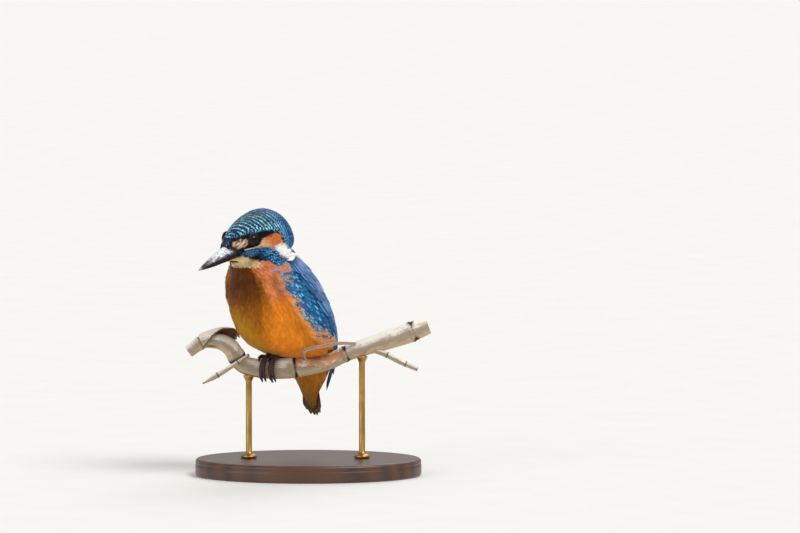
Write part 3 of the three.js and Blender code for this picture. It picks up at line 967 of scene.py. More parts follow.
class Markings:
    """Where the plumage has each colour.

    Edges on the side of the head are x and z in its frame; a band adds half its width. The
    other edges are a height in the bird's frame and how far to the side or forward.
    """

    CROWN_EDGE = ((20, 5), (15, 8), (5, 8.5), (-3, 7.5), (-9, 4), (-11, -2), (-18, -8.5), (-26, -14))
    MASK_EDGE = ((20, -0.5), (13, 0.3), (7, 1.5), (3, 4), (-1, 5), (-7, 4.5), (-9, 3.5))
    EAR_EDGE = ((7, 1), (4, 1), (-5, -1.5), (-7, -1.2), (-10.5, 1.5))
    WHITE = ((-6.5, -3, 2.3), (-9, -5, 3.5), (-12, -8, 3.3), (-20.5, -12, 2))
    MALAR = ((13, -0.5, 1), (6.5, -2, 2.9), (0.5, -4.2, 4), (-1.5, -6.5, 3.7), (-5, -11.5, 1.8))
    LORE = (13, 5.2, 4, 2)  # middle, half length and half height
    EYE_RING = (5.7, 5, 3.5)  # middle and radius of the dark ring
    # where the flank that is painted as if sunlit begins, by height
    SUN_EDGE = ((112, 7.5), (98, 14), (90, 14), (70, 8), (60, 7))
    CHIN_EDGE = -9.6  # where the throat gives way to the breast
    MANTLE_EDGE = ((120, 12), (110, 8), (90, -6), (67, -18), (50, -24))

    CROWN = tone(8, 50, 90)
    CROWN_BAR = tone(150, 228, 242)
    NAPE = tone(8, 40, 92)
    NAPE_SPOT = tone(40, 152, 222)
    BLACK = tone(13, 12, 16)
    LORE_TONE = tone(222, 170, 122)
    LORE_STREAK = tone(84, 46, 24)
    EAR_FRONT = tone(252, 212, 156)
    EAR_REAR = tone(226, 122, 56)
    WHITE_TONE = tone(253, 251, 247)
    THROAT = tone(255, 230, 178)
    MALAR_TONE = tone(6, 82, 140)
    MALAR_SPOT = tone(132, 200, 238)
    # dusky breast band of the young bird, made darker as a painted shadow of the head
    DUSKY_BAND_AND_SHADE = tone(104, 54, 8)
    BREAST = tone(168, 96, 8)
    BELLY = tone(222, 124, 10)
    GOLD = tone(208, 150, 20)
    # The flank's own orange, brightened as painted sunlight, and a salmon patch painted where sunlight fell
    # on the shoulder.
    FLANK = tone(250, 148, 34)
    SUNLIT_SHOULDER = tone(230, 138, 84)
    VENT = tone(205, 128, 34)
    UNDERTAIL = tone(160, 108, 38)
    MANTLE = tone(20, 62, 112)
    MANTLE_SPOT = tone(58, 140, 196)
    # a painted sheen: the mauve-grey cast of light on the scapulars
    SHEEN = tone(112, 138, 190)
    STRIPE = tone(24, 136, 206)
    STRIPE_TIP = tone(116, 214, 240)
    WING = tone(12, 52, 84)

    def collar(self, points: Array) -> Array:
        """How far points of the bird lie above the plane between head and neck."""
        return 0.35 * (points[:, 0] - 26) + points[:, 2] - 112.5

    def crown(self, points: Array) -> Array:
        """How far points lie above the lower edge of the barred crown."""
        x, _, z = HEAD.into(points).T
        return z - curve(x, self.CROWN_EDGE)

    def white(self, points: Array) -> Array:
        """How deep points lie in the white patch on each side of the neck."""
        x, _, z = HEAD.into(points).T
        return band(np.stack([x, z], 1), self.WHITE)

    def paint(self, points: Array, wing: Array | None = None) -> Paint:
        """The colours at some points of the bird.

        Args:
            points: Places in the bird's frame.
            wing: The share of wing at each, or None.

        Returns:
            Their colours.
        """
        paint = Paint.plain(len(points), self.BREAST)
        self._paint_body(paint, points)
        if wing is not None:
            paint.lay(wing, self.WING)
        self._paint_head(paint, points)
        return paint

    def _paint_body(self, paint: Paint, points: Array) -> None:
        """Breast, belly and flanks, and the back between the wings."""
        f, t, z = points.T
        side = np.abs(t) + 1.2 * wave(points, 9, 3)
        z = z + 1.5 * wave(points, 12, 4)
        # The upper breast darkens towards its top: partly the young bird's dusky band, partly a painted
        # shadow cast by the head.
        paint.lay(ramp(z, 78, 104), self.DUSKY_BAND_AND_SHADE)
        # Painted shade: the bird's right side, away from the light, is turned back to darker breast brown.
        paint.lay(ramp(t, -8, -18) * 0.7, self.BREAST)
        paint.lay(ramp(z, 84, 64), self.BELLY)
        # Painted light: the flank is painted bright orange with a salmon top, where sunlight fell on it; the
        # orange is partly the flank's own colour. On the bird's right side the lit area is pulled back,
        # leaving that side in painted shade.
        sun = side - 10 * ramp(t, 0, -12) - curve(z, self.SUN_EDGE)
        paint.lay(ramp(z, 94, 80) * ramp(z, 60, 68) * ramp(t, 12, -4) * 0.8, self.GOLD)
        paint.lay(ramp(sun, -4, 5) * ramp(z, 60, 70), self.FLANK)
        paint.lay(ramp(sun, -1, 1.5) * ramp(z, 92, 100), self.SUNLIT_SHOULDER)
        paint.lay(ramp(z, 66, 56), self.VENT)
        paint.lay(ramp(z, 51, 41), self.UNDERTAIL)
        back = ramp(curve(points[:, 2], self.MANTLE_EDGE) - f, -1.5, 1.5)
        paint.lay(back, self.MANTLE, self.MANTLE_SPOT, (0, 0.7, 0), 0)
        paint.lay(back * ramp(side, 8, 5.5), self.STRIPE, self.STRIPE_TIP, (0.6, 0, 0), 0)

    def _paint_head(self, paint: Paint, points: Array) -> None:
        """Crown, mask, ear patch, white neck patch, malar stripe and throat."""
        x, _, z = HEAD.into(points).T
        rough = 0.35 * wave(points, 3.2, 5)
        flat = np.stack([x, z + rough], 1)
        above = self.collar(points)
        near = ramp(above, -9, -7)
        throat = ramp(z + rough, self.CHIN_EDGE - 0.7, self.CHIN_EDGE + 0.7) * ramp(x, 5, 6.4)
        paint.lay(throat * near, self.THROAT)
        paint.lay(near * ramp(x, 6, 7.5) * ramp(z + rough - 0.33 * (x - 7.9), -4.0, -3.3), self.BLACK)
        crown = curve(x, self.CROWN_EDGE)
        mask = curve(x, self.MASK_EDGE)
        ear = curve(x, self.EAR_EDGE)
        black = ramp(flat[:, 1] - mask, -0.4, 0.4) * ramp(x, -12.5, -11.5)
        low = ramp(flat[:, 1] - ear, -0.5, 0.5) * ramp(x, -10.8, -10) * ramp(x, 7.4, 6.7)
        ear_tone = blend(self.EAR_REAR, self.EAR_FRONT, ramp(x + 0.6 * (1 - z), -4, 2))
        nape_side = ramp(x, -4, -6.5) * ramp(z, -7, -9) * ramp(above, -10, -7)
        paint.lay(nape_side, self.MANTLE, self.MANTLE_SPOT, (0, 0.7, 0), 0)
        paint.lay(near * ramp(band(flat, self.WHITE), -0.5, 0.5), self.WHITE_TONE)
        paint.lay(near * low, ear_tone, self.EAR_FRONT, (0, 0, 0.5), 0.6)
        malar = near * ramp(band(flat, self.MALAR), -0.4, 0.4)
        paint.lay(malar, self.MALAR_TONE, self.MALAR_SPOT, (0.25, 1, 0), 0.2)
        # Painted shadow: the malar's lower front edge, under the bill, is painted black.
        paint.lay(malar * ramp(z + 0.5 * x, 1.4, -2.6) * ramp(x, 1, 5), self.BLACK)
        paint.lay(near * black, self.BLACK, self.BLACK, (0, 0, 0), 0.6)
        lx, lz, long, high = self.LORE
        lore = ((x - lx) / long) ** 2 + ((z - lz) / high) ** 2
        lore = ramp(lore, 1.25, 0.8) * near
        paint.lay(lore, self.LORE_TONE, self.EAR_FRONT, (0.3, 0, 0.5), 0.5)
        paint.lay(lore * ramp(wave(points * [1, 1, 0.6], 1.1, 8), -0.2, 0.05) * 0.9, self.LORE_STREAK)
        paint.lay(lore * ramp(wave(points * [1, 1, 0.6], 0.9, 9), 0.2, 0.4) * 0.6, self.WHITE_TONE)
        ex, ez, reach = self.EYE_RING
        eye = np.hypot(x - ex, z - ez)
        paint.lay(ramp(eye, reach + 0.3, reach - 0.3) * near, self.BLACK)
        capped = ramp(flat[:, 1] - crown, -0.3, 0.3) * ramp(above, -15, -13)
        rear = ramp(x, -8, -16)
        paint.lay(capped, self.CROWN, self.CROWN_BAR, (1, 0, 0), 0)
        paint.lay(capped * rear, self.NAPE, self.NAPE_SPOT, (0.45, 0.9, 0), 0)


# ------------------------------------------------------------------ finishes


@dataclass(frozen=True)
class PlumageFinish:
    """Feathers: a ground colour with bars, spots or pale edges, and fine barbs."""

    name: str
    rough: float = 0.5
    sheen: float = 0.03
    gloss: float = 0.18
    barb_pitch: float = 0.34

    def build(self) -> bpy.types.Material:
        """Makes the material."""
        g = Graph(self.name)
        s, t, soft = g.parts(g.attribute("vane"))
        bar_share, spot_share, rim_share = g.parts(g.attribute("mark"))
        lot = g.attribute("plume", "Alpha")
        length = g.attribute("accent", "Alpha") * 20
        side = t.absolute()
        bent = s + side * side * 0.13
        bar = bent.step(0.68, 0.76) * (1 - bent.step(0.95, 1.03)) * bar_share
        spot = (1 - (((s - 0.79) * 5.8) ** 2 + (t * 3.3) ** 2).step(0.4, 1.3)) * spot_share
        rim = side.step(0.35, 0.85) * rim_share
        mask = (bar + spot + rim).clamped()
        barbs = ((s * length - side * length * 0.16) * (TURN / self.barb_pitch)).sine()
        shaft = (1 - side.step(0.03, 0.09)) * (1 - soft)
        colour = g.mix(g.attribute("plume", "Color"), g.attribute("accent", "Color"), mask)
        # Painted shade: each feather darkens towards its root, where it lies under its neighbours; soft
        # feathers less so.
        depth = 1 - (0.55 - 0.35 * soft) * (1 - s.step(0.05, 0.55))
        edge = 1 - (1 - soft) * (1 - mask) * 0.35 * bent.step(0.86, 1.0)
        value = depth * edge * (1 + barbs * 0.07) * (0.86 + 0.28 * lot) * (1 - shaft * 0.3)
        relief = (barbs * 0.3 + 0.5) + shaft * 0.6
        return g.surface(
            g.shade(colour, value),
            self.rough,
            relief,
            0.05,
            sheen_weight=self.sheen,
            sheen_roughness=0.4,
            specular_ior_level=self.gloss,
        )


@dataclass(frozen=True)
class SkinFinish:
    """Skin under the feathers, in the same colours, with a fine grain."""

    name: str = "skin"

    def build(self) -> bpy.types.Material:
        """Makes the material."""
        g = Graph(self.name)
        grain = g.noise(g.place(), 2200, 3)
        colour = g.shade(g.attribute("plume", "Color"), grain * 0.5 + 0.45)
        return g.surface(colour, 0.75, grain, 0.1)


@dataclass(frozen=True)
class EyeFinish:
    """A wet dark brown eye with a black pupil."""

    name: str = "eye"

    def build(self) -> bpy.types.Material:
        """Makes the material."""
        g = Graph(self.name)
        out, _, _ = g.parts(g.attribute("stem"))
        streaks = g.noise(g.place(), 900, 2)
        iris = g.mix(tone(46, 26, 16), tone(24, 14, 11), streaks)
        pupil = out.step(0.42, 0.47)
        rim = out.step(0.74, 0.9)
        colour = g.mix(g.mix(tone(5, 4, 5), iris, pupil), tone(8, 7, 8), rim)
        return g.surface(colour, 0.05, specular_ior_level=0.22)


@dataclass(frozen=True)
class HornFinish:
    """Horn of the bill and claws, also used for the gape: dark, finely grained, and paler in blotches where
    its second stem value is high.
    """

    name: str
    dark: Array
    pale: Array
    rough: float = 0.3

    def build(self) -> bpy.types.Material:
        """Makes the material."""
        g = Graph(self.name)
        _, pale_tip_and_highlight, _ = g.parts(g.attribute("stem"))
        grain = g.noise(g.place(), 900, 4, 0.6)
        scratches = g.noise(g.stretched(g.attribute("stem"), (0.25, 9, 9)), 2.0, 3)
        blotches = g.noise(g.place(), 800, 2)
        # On the bill that value is its pale tip and a painted highlight over the upper ridge; on the gape it
        # is its upper side.
        share = (pale_tip_and_highlight * (scratches * 1.4 + blotches * 3.2 - 1.45)).clamped()
        colour = g.mix(self.dark, self.pale, share)
        colour = g.shade(colour, 0.8 + grain * 0.4)
        relief = grain * 0.5 + scratches * 0.5
        return g.surface(colour, self.rough + share * 0.2, relief, 0.05, specular_ior_level=0.3)


@dataclass(frozen=True)
class ScaleFinish:
    """Scaled skin of the feet."""

    name: str
    dark: Array
    light: Array

    def build(self) -> bpy.types.Material:
        """Makes the material."""
        g = Graph(self.name)
        cells = g.add(
            "ShaderNodeTexVoronoi", {"feature": "DISTANCE_TO_EDGE"}, {"Vector": g.place(), "Scale": 2100}
        )
        plate = cells.step(0.0, 0.16)
        mottle = g.noise(g.place(), 700, 3)
        colour = g.mix(self.dark, self.light, (mottle * 1.6 - 0.35).clamped())
        # Painted shade: darker along the seams between the scales.
        colour = g.shade(colour, 0.6 + plate * 0.4)
        return g.surface(colour, 0.5, plate, 0.07)


@dataclass(frozen=True)
class ReedFinish:
    """Dry reed: pale grey-tan with long fibres, dark joints and torn tan patches, painted pale on top and
    warm tan underneath as if lit from above.
    """

    name: str
    pale: Array = field(default_factory=lambda: tone(244, 237, 224))
    grey: Array = field(default_factory=lambda: tone(158, 142, 120))
    warm: Array = field(default_factory=lambda: tone(202, 176, 142))
    torn: Array = field(default_factory=lambda: tone(220, 150, 98))
    dark: Array = field(default_factory=lambda: tone(38, 18, 10))

    def build(self) -> bpy.types.Material:
        """Makes the material."""
        g = Graph(self.name)
        stem = g.attribute("stem")
        fibre = g.noise(g.stretched(stem, (0.06, 9, 9)), 1.6, 5, 0.65)
        stains = g.noise(g.stretched(stem, (0.2, 1.3, 1.3)), 1.0, 4, 0.6)
        torn, joint, edge_and_bore_shade = g.parts(g.attribute("wear_and_shade"))
        specks = g.noise(g.place(), 1500, 3)
        # Painted light: by the way round, the top is painted pale as if lit, the sides grey and the
        # underside warm tan.
        _, top, _ = g.parts(stem)
        side = top + (stains - 0.5) * 1.4 + (fibre - 0.5) * 1.2
        colour = g.mix(self.grey, self.pale, side.step(0.1, 0.8))
        colour = g.mix(self.warm, colour, side.step(-0.75, -0.15))
        patches = g.noise(g.stretched(stem, (0.35, 1.8, 1.8)), 1.0, 4)
        bare = g.mix(self.torn, self.pale, patches.step(0.46, 0.66) * 0.8)
        bare = g.mix(bare, self.torn * 0.3, fibre.step(0.44, 0.34) * 0.85)
        colour = g.mix(colour, bare, (torn * (0.5 + stains * 1.2)).clamped())
        # The second stored value darkens the joints and the sheath's inside, and paints the shadow line
        # under the stem. The third darkens the sheath's ragged edge and paints the shade inside the stem's
        # cut ends.
        colour = g.mix(colour, self.dark, (joint + specks.step(0.68, 0.78) * 0.4).clamped())
        colour = g.mix(colour, self.grey * 0.3, edge_and_bore_shade)
        return g.surface(colour, 0.5 + stains * 0.25, fibre, 0.22)


@dataclass(frozen=True)
class WoodFinish:
    """Dark stained wood with a fine grain under satin varnish."""

    name: str = "dark_wood"
    dark: Array = field(default_factory=lambda: tone(50, 29, 18))
    light: Array = field(default_factory=lambda: tone(98, 60, 36))

    def build(self) -> bpy.types.Material:
        """Makes the material."""
        g = Graph(self.name)
        bend = g.noise(g.stretched(g.place(), (14, 30, 30)), 1.0, 2)
        _, across, _ = g.parts(g.place())
        rings = (across * 900 + bend * 9).sine() * 0.5 + 0.5
        pores = g.noise(g.stretched(g.place(), (60, 1400, 1400)), 1.0, 4, 0.7)
        share = (rings * 0.5 + pores * 0.7 - 0.15).clamped()
        colour = g.mix(self.dark, self.light, share)
        return g.surface(colour, 0.34 + pores * 0.18, pores, 0.03, coat_weight=0.3, coat_roughness=0.25)


@dataclass(frozen=True)
class BrassFinish:
    """Brushed brass, a little dulled."""

    name: str = "brass"

    def build(self) -> bpy.types.Material:
        """Makes the material."""
        g = Graph(self.name)
        brushed = g.noise(g.stretched(g.place(), (5000, 5000, 120)), 1.0, 3)
        tarnish = g.noise(g.place(), 160, 4)
        colour = g.mix(tone(196, 156, 88), tone(150, 112, 58), (tarnish * 1.6 - 0.4).clamped())
        return g.surface(colour, 0.24 + tarnish * 0.2, brushed, 0.01, metallic=1.0)


# ------------------------------------------------------------------ skin and coat


class Kind(Enum):
    """The groups of small feathers, each a piece of its own."""

    CROWN = "coat_crown"
    FACE = "coat_face"
    BREAST = "coat_breast"
    FLANK_LEFT = "coat_flank_left"
    FLANK_RIGHT = "coat_flank_right"
    VENT = "coat_vent"
    BACK = "coat_back"


@dataclass(frozen=True)
class Recipe:
    """How one group of small feathers is made.

    Attributes:
        length: Gives their lengths at some roots.
        aspect: Half a feather's width over its length.
        sink: How deep their roots lie.
        lift: How far their tips stand off.
        vane: Their form.
        finish: Their material.
        slot: The record's slot of that material.
    """

    length: Callable[[Array], Array]
    aspect: float
    sink: float
    lift: float
    vane: Vane
    finish: bpy.types.Material
    slot: Slot


@dataclass
class Body:
    """The bird's skin and the small feathers over it.

    Attributes:
        eye_place: The middle of the left eye, in the head's frame.
        eye_radius: Its radius.
        head_middle: Where the rays that place the crown's rows start.
        head_reach: The head's radius there, by the angle away from the bill.
        crown_row: The distance between two rows of the crown.
        crown_step: The distance between two feathers of a row.
        ring_middles: How far forward the middle of the body lies, by height.
        flesh: The nodes of head, neck and trunk.
        wing_nodes: The nodes of the folded wings.
    """

    eye_place: tuple[float, float, float] = (5.5, 7.6, 4.8)
    eye_radius: float = 3.6
    head_middle: tuple[float, float, float] = (-5, 0, 1.5)
    head_reach: tuple[tuple[float, float], ...] = (
        (0.3, 21.5), (0.9, 16.5), (1.3, 14.6), (2.4, 17.5), (2.9, 19),
    )
    crown_row: float = 0.84
    crown_step: float = 1.45
    ring_middles: tuple[tuple[float, float], ...] = (
        (34, -21), (43, -18), (57, -15), (62, -10.6), (71, -0.8), (78, 2.4), (86, 5.1),
        (93, 7.5), (106, 10.1), (120, 14),
    )
    flesh: tuple[str, ...] = ("head", "neck", "trunk")
    wing_nodes: tuple[str, ...] = ("wing_left", "wing_right")

    def __post_init__(self) -> None:
        """Makes the outer form that the feathers follow."""
        self.markings = Markings()
        self.hull = Hull([*self.flesh, *self.wing_nodes, "eye_left", "eye_right"])
        self.wing_tree = self._tree(self.wing_nodes)
        self.flesh_tree = self._tree(self.flesh)
        place = np.array(self.eye_place)
        self.eyes = HEAD.out(np.array([place, place * [1, -1, 1]]))

    @staticmethod
    def _tree(names: Sequence[str]) -> BVHTree:
        """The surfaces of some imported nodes, in the bird's frame."""
        points, faces = [], []
        for name in names:
            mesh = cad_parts[name].data
            start = len(points)
            points += BIRD.into(np.array([v.co for v in mesh.vertices]) / MM).tolist()
            faces += [[start + v for v in face.vertices] for face in mesh.polygons]
        return BVHTree.FromPolygons(points, faces)

    def on_wing(self, points: Array) -> Array:
        """How much nearer points lie to the wings than to the flesh, in millimetres."""
        rows = [Vector(row) for row in points.tolist()]
        return np.array(
            [self.flesh_tree.find_nearest(p)[3] - self.wing_tree.find_nearest(p)[3] for p in rows]
        )

    def from_eyes(self, points: Array) -> Array:
        """Distances from the middle of the nearer eye."""
        return np.linalg.norm(points[..., None, :] - self.eyes, axis=-1).min(-1)

    def in_bill(self, points: Array, room: float) -> Array:
        """Whether points lie where the bill leaves the head."""
        x, y, z = np.moveaxis(HEAD.into(points), -1, 0)
        wide = Bill.half_width_at(x) + room
        return (x > 10.4) & (np.abs(y) < wide) & (z < Bill.culmen_at(x) + room) & (z > -2.6 - room)

    def _polar(self, points: Array) -> tuple[Array, Array]:
        """Angles about the head's middle: away from the bill, and round it from the top."""
        rays = HEAD.into(points) - self.head_middle
        return np.arccos(np.clip(unit(rays)[:, 0], -1, 1)), np.arctan2(rays[:, 1], rays[:, 2])

    def flow(self, points: Array) -> Array:
        """Which way the feathers lie at some points of the bird."""
        out, turn = self._polar(points)
        away = np.stack(
            [-np.sin(out), np.cos(out) * np.sin(turn), np.cos(out) * np.cos(turn)], 1
        )
        f, t, z = points.T
        back = -0.5 * ramp(z, 46, 62)
        down = np.stack([back, 0.012 * t * ramp(f, 0, 20), -np.ones(len(f))], 1)
        return unit(blend(down, HEAD.out_along(away), ramp(self.markings.collar(points), -6, 2)))

    def unwrap(self, points: Array) -> Array:
        """The points' places on a flat map of the skin: rings of the body, then of the head."""
        f, t, z = points.T
        turn = np.arctan2(t, f - curve(z, self.ring_middles)) / TURN + 0.5
        body = np.stack([turn, (z - 30) / 95 * 0.62], 1)
        out, round_head = self._polar(points)
        head = np.stack([round_head / TURN + 0.5, 0.995 - 0.36 * out / math.pi], 1)
        above = self.markings.collar(points)[:, None] > 0
        return np.clip(np.where(above, head, body), 0.004, 0.996)

    def depth(self, points: Array) -> Array:
        """How deep the skin lies under the feathers' outer form."""
        above = self.markings.collar(points)
        x = HEAD.into(points)[:, 0]
        depth = blend(1.25, 0.7, ramp(above, -6, 2))
        depth = blend(depth, 0.3, ramp(x, 8, 16) * ramp(above, -2, 0))
        return blend(depth, 0.75, ramp(self.from_eyes(points), 6, 4.5))

    def build_skin(self, finish: bpy.types.Material, lids: Shape) -> None:
        """One skin over head, neck, trunk and wings, with the lids of the eyes."""
        hull = self.hull
        points = hull.points - hull.normals * self.depth(hull.points)[:, None]
        wing = ramp(self.on_wing(hull.points), -0.4, 0.4)
        paint = self.markings.paint(hull.points, wing)
        faces = np.concatenate([hull.quads[:, [0, 1, 2]], hull.quads[:, [0, 2, 3]]])
        plume = np.hstack([paint.base, np.ones((len(points), 1))])
        skin = Shape(points, faces, {"plume": plume})
        dark = np.tile([*Markings.BLACK, 1.0], (len(lids.points), 1))
        both = Shape.joined([skin, Shape(lids.points, lids.faces, {"plume": dark})])
        both.placed(BIRD).piece("skin", finish, Slot.ORANGE, [*self.flesh, *self.wing_nodes])

    def _crown_roots(self) -> tuple[Array, Array, Array]:
        """Rows of feathers round the head, from the bill to the nape: roots, headings, rows."""
        centre = HEAD.out(np.array(self.head_middle))
        roots, rows = [], []
        out = 0.28
        row = 0
        while out < 3.1:
            reach = float(curve(np.array(out), self.head_reach))
            around = max(6, round(TURN * reach * math.sin(out) / self.crown_step))
            turns = (np.arange(around) + 0.5 * (row % 2)) * TURN / around
            for turn in turns:
                way = HEAD.out_along(
                    [math.cos(out), math.sin(out) * math.sin(turn), math.sin(out) * math.cos(turn)]
                )
                found = self.hull.hit(centre + way * 60, -way)
                if found is not None:
                    roots.append(found[0])
                    rows.append(row)
            out += self.crown_row / reach
            row += 1
        points = np.array(roots)
        kept = (self.markings.crown(points) > 0.1) & (self.markings.collar(points) > -1)
        kept &= ~self.in_bill(points, 0.2)
        return points[kept], self.flow(points[kept]), np.array(rows)[kept]

    def _gap(self, points: Array) -> Array:
        """The spacing of the scattered feathers, or 0 where there are none."""
        f, _, z = points.T
        above = self.markings.collar(points)
        gap = blend(1.15, 0.78, ramp(above, -5, 1))
        gap = blend(gap, 0.62, ramp(self.from_eyes(points), 9, 5.5))
        back = curve(z, Markings.MANTLE_EDGE) - f
        white = self.markings.white(points) > -0.5
        gap = np.where((back > 0) & (above < -2) & ~white, 1.9, gap)
        crowned = (self.markings.crown(points) > 0.2) & (above > -0.6)
        wing = self.on_wing(points) > 0.2
        bare = (self.from_eyes(points) < self.eye_radius) | self.in_bill(points, 0.1)
        buried = Reed.clearance(BIRD.out(points)) < 1.0
        return np.where(crowned | wing | bare | buried, 0, gap)

    def _kinds(self, points: Array) -> Array:
        """The group that each scattered feather belongs to."""
        f, t, z = points.T
        above = self.markings.collar(points)
        kinds = np.full(len(points), Kind.BREAST, object)
        kinds[t > 9] = Kind.FLANK_LEFT
        kinds[t < -9] = Kind.FLANK_RIGHT
        kinds[z < 60] = Kind.VENT
        kinds[(curve(z, Markings.MANTLE_EDGE) - f > 0) & (above < -1)] = Kind.BACK
        kinds[(above > -1) | (self.markings.white(points) > -0.5) & (above > -9)] = Kind.FACE
        return kinds

    def _plumes(
        self, roots: Array, headings: Array, sizes: Array, halves: Array, sink: Array, lift: Array
    ) -> tuple[Plumes, Array]:
        """Lays feathers on the body and drops those that would cover an eye or the reed."""
        control, normals = self.hull.lay(roots, headings, sizes, halves)
        flat = control.reshape(len(roots), -1, 3)
        clear = self.from_eyes(flat).min(1) > self.eye_radius - 0.15
        clear &= Reed.room(control) > 0.45
        plumes = Plumes(control[clear], normals[clear], sizes[clear], sink[clear], lift[clear])
        return plumes, clear

    def build_coat(self, blue: bpy.types.Material, soft: bpy.types.Material) -> None:
        """All the small feathers of head, neck and trunk."""
        self._build_crown(blue)
        self._build_groups(self._recipes(blue, soft))

    def _build_crown(self, blue: bpy.types.Material) -> None:
        """The barred feathers of the crown, in rows."""
        roots, headings, rows = self._crown_roots()
        count = len(roots)
        chance = np.random.default_rng(21)
        sizes = chance.uniform(3.4, 3.8, count) * blend(1.0, 0.85, ramp(HEAD.into(roots)[:, 0], 8, 17))
        plumes, kept = self._plumes(
            roots, headings, sizes, sizes * 0.28, np.full(count, 0.52), np.full(count, 0.01)
        )
        plumes.stack = 0.01
        paint = self.markings.paint(plumes.control[:, 3, 1])
        x, _, z = HEAD.into(roots[kept]).T
        barred = np.where(z > 9.5, rows[kept] % 3 == 0, rows[kept] % 2 == 0)
        paint.marks[:, 0] *= np.where(barred, chance.uniform(0.3, 1, kept.sum()), 0)
        broken = np.maximum(ramp(z, 11, 15), ramp(x, -8, -16))
        paint.marks[:, :2] *= (1 - broken * ramp(wave(roots[kept], 1.7, 12), 0.15, -0.2))[:, None]
        vane = Vane.rounded(6, 5, 0.5, 0.5, 0.72)
        shape = plumes.shape(vane, paint, self.unwrap(roots[kept]), 22)
        shape.placed(BIRD).piece(Kind.CROWN.value, blue, Slot.BLUE)

    def _build_groups(self, recipes: dict[Kind, Recipe]) -> None:
        """The scattered feathers, group by group."""
        roots, _ = self.hull.scatter(90000, self._gap, 31)
        kinds = self._kinds(roots)
        headings = self.flow(roots)
        chance = np.random.default_rng(32)
        headings = unit(headings + chance.normal(size=headings.shape) * 0.05)
        for kind, recipe in recipes.items():
            chosen = np.flatnonzero(kinds == kind)
            sizes = recipe.length(roots[chosen]) * chance.uniform(0.88, 1.12, len(chosen))
            plumes, kept = self._plumes(
                roots[chosen],
                headings[chosen],
                sizes,
                sizes * recipe.aspect,
                np.full(len(chosen), recipe.sink),
                recipe.lift * chance.uniform(0.6, 1.6, len(chosen)),
            )
            if kind is Kind.FACE:
                plumes.sink = np.minimum(plumes.sink, self.depth(roots[chosen][kept]) * 0.8)
                plumes.dome, plumes.thick = 0.05, 0.05
            paint = self.markings.paint(plumes.control[:, 3, 1])
            shape = plumes.shape(recipe.vane, paint, self.unwrap(roots[chosen][kept]), 33)
            shape.placed(BIRD).piece(kind.value, recipe.finish, recipe.slot)

    def _recipes(self, blue: bpy.types.Material, soft: bpy.types.Material) -> dict[Kind, Recipe]:
        """How each scattered group is made."""

        def face(points: Array) -> Array:
            """Shorter towards the bill and the eyes, longer on the throat."""
            x = HEAD.into(points)[:, 0]
            longer = 1 + 0.4 * ramp(x, -5, -11)
            return blend(2.9, 1.7, ramp(self.from_eyes(points), 9, 5)) * blend(longer, 0.75, ramp(x, 10, 16))

        def trunk(points: Array) -> Array:
            """Longer down the body."""
            return blend(5.2, 7.4, ramp(points[:, 2], 108, 78))

        def vent(points: Array) -> Array:
            """The long feathers under the tail."""
            return blend(7.5, 9.5, ramp(points[:, 2], 60, 48))

        def back(points: Array) -> Array:
            """All alike."""
            return np.full(len(points), 6.5)

        fine = Vane.frayed(7, 0.26)
        loose = Vane.frayed(9, 0.27)
        long = Vane.frayed(9, 0.2)
        whole = Vane.rounded(7, 5, 0.45, 0.5, 0.6)
        return {
            Kind.FACE: Recipe(face, 0.26, 0.55, 0.1, fine, soft, Slot.PALE),
            Kind.BREAST: Recipe(trunk, 0.27, 0.9, 0.12, loose, soft, Slot.ORANGE),
            Kind.FLANK_LEFT: Recipe(trunk, 0.27, 0.9, 0.2, loose, soft, Slot.ORANGE),
            Kind.FLANK_RIGHT: Recipe(trunk, 0.27, 0.9, 0.2, loose, soft, Slot.ORANGE),
            Kind.VENT: Recipe(vent, 0.2, 0.8, 0.15, long, soft, Slot.ORANGE),
            Kind.BACK: Recipe(back, 0.27, 0.8, 0.2, whole, blue, Slot.BLUE),
        }


# ------------------------------------------------------------------ bill and eyes


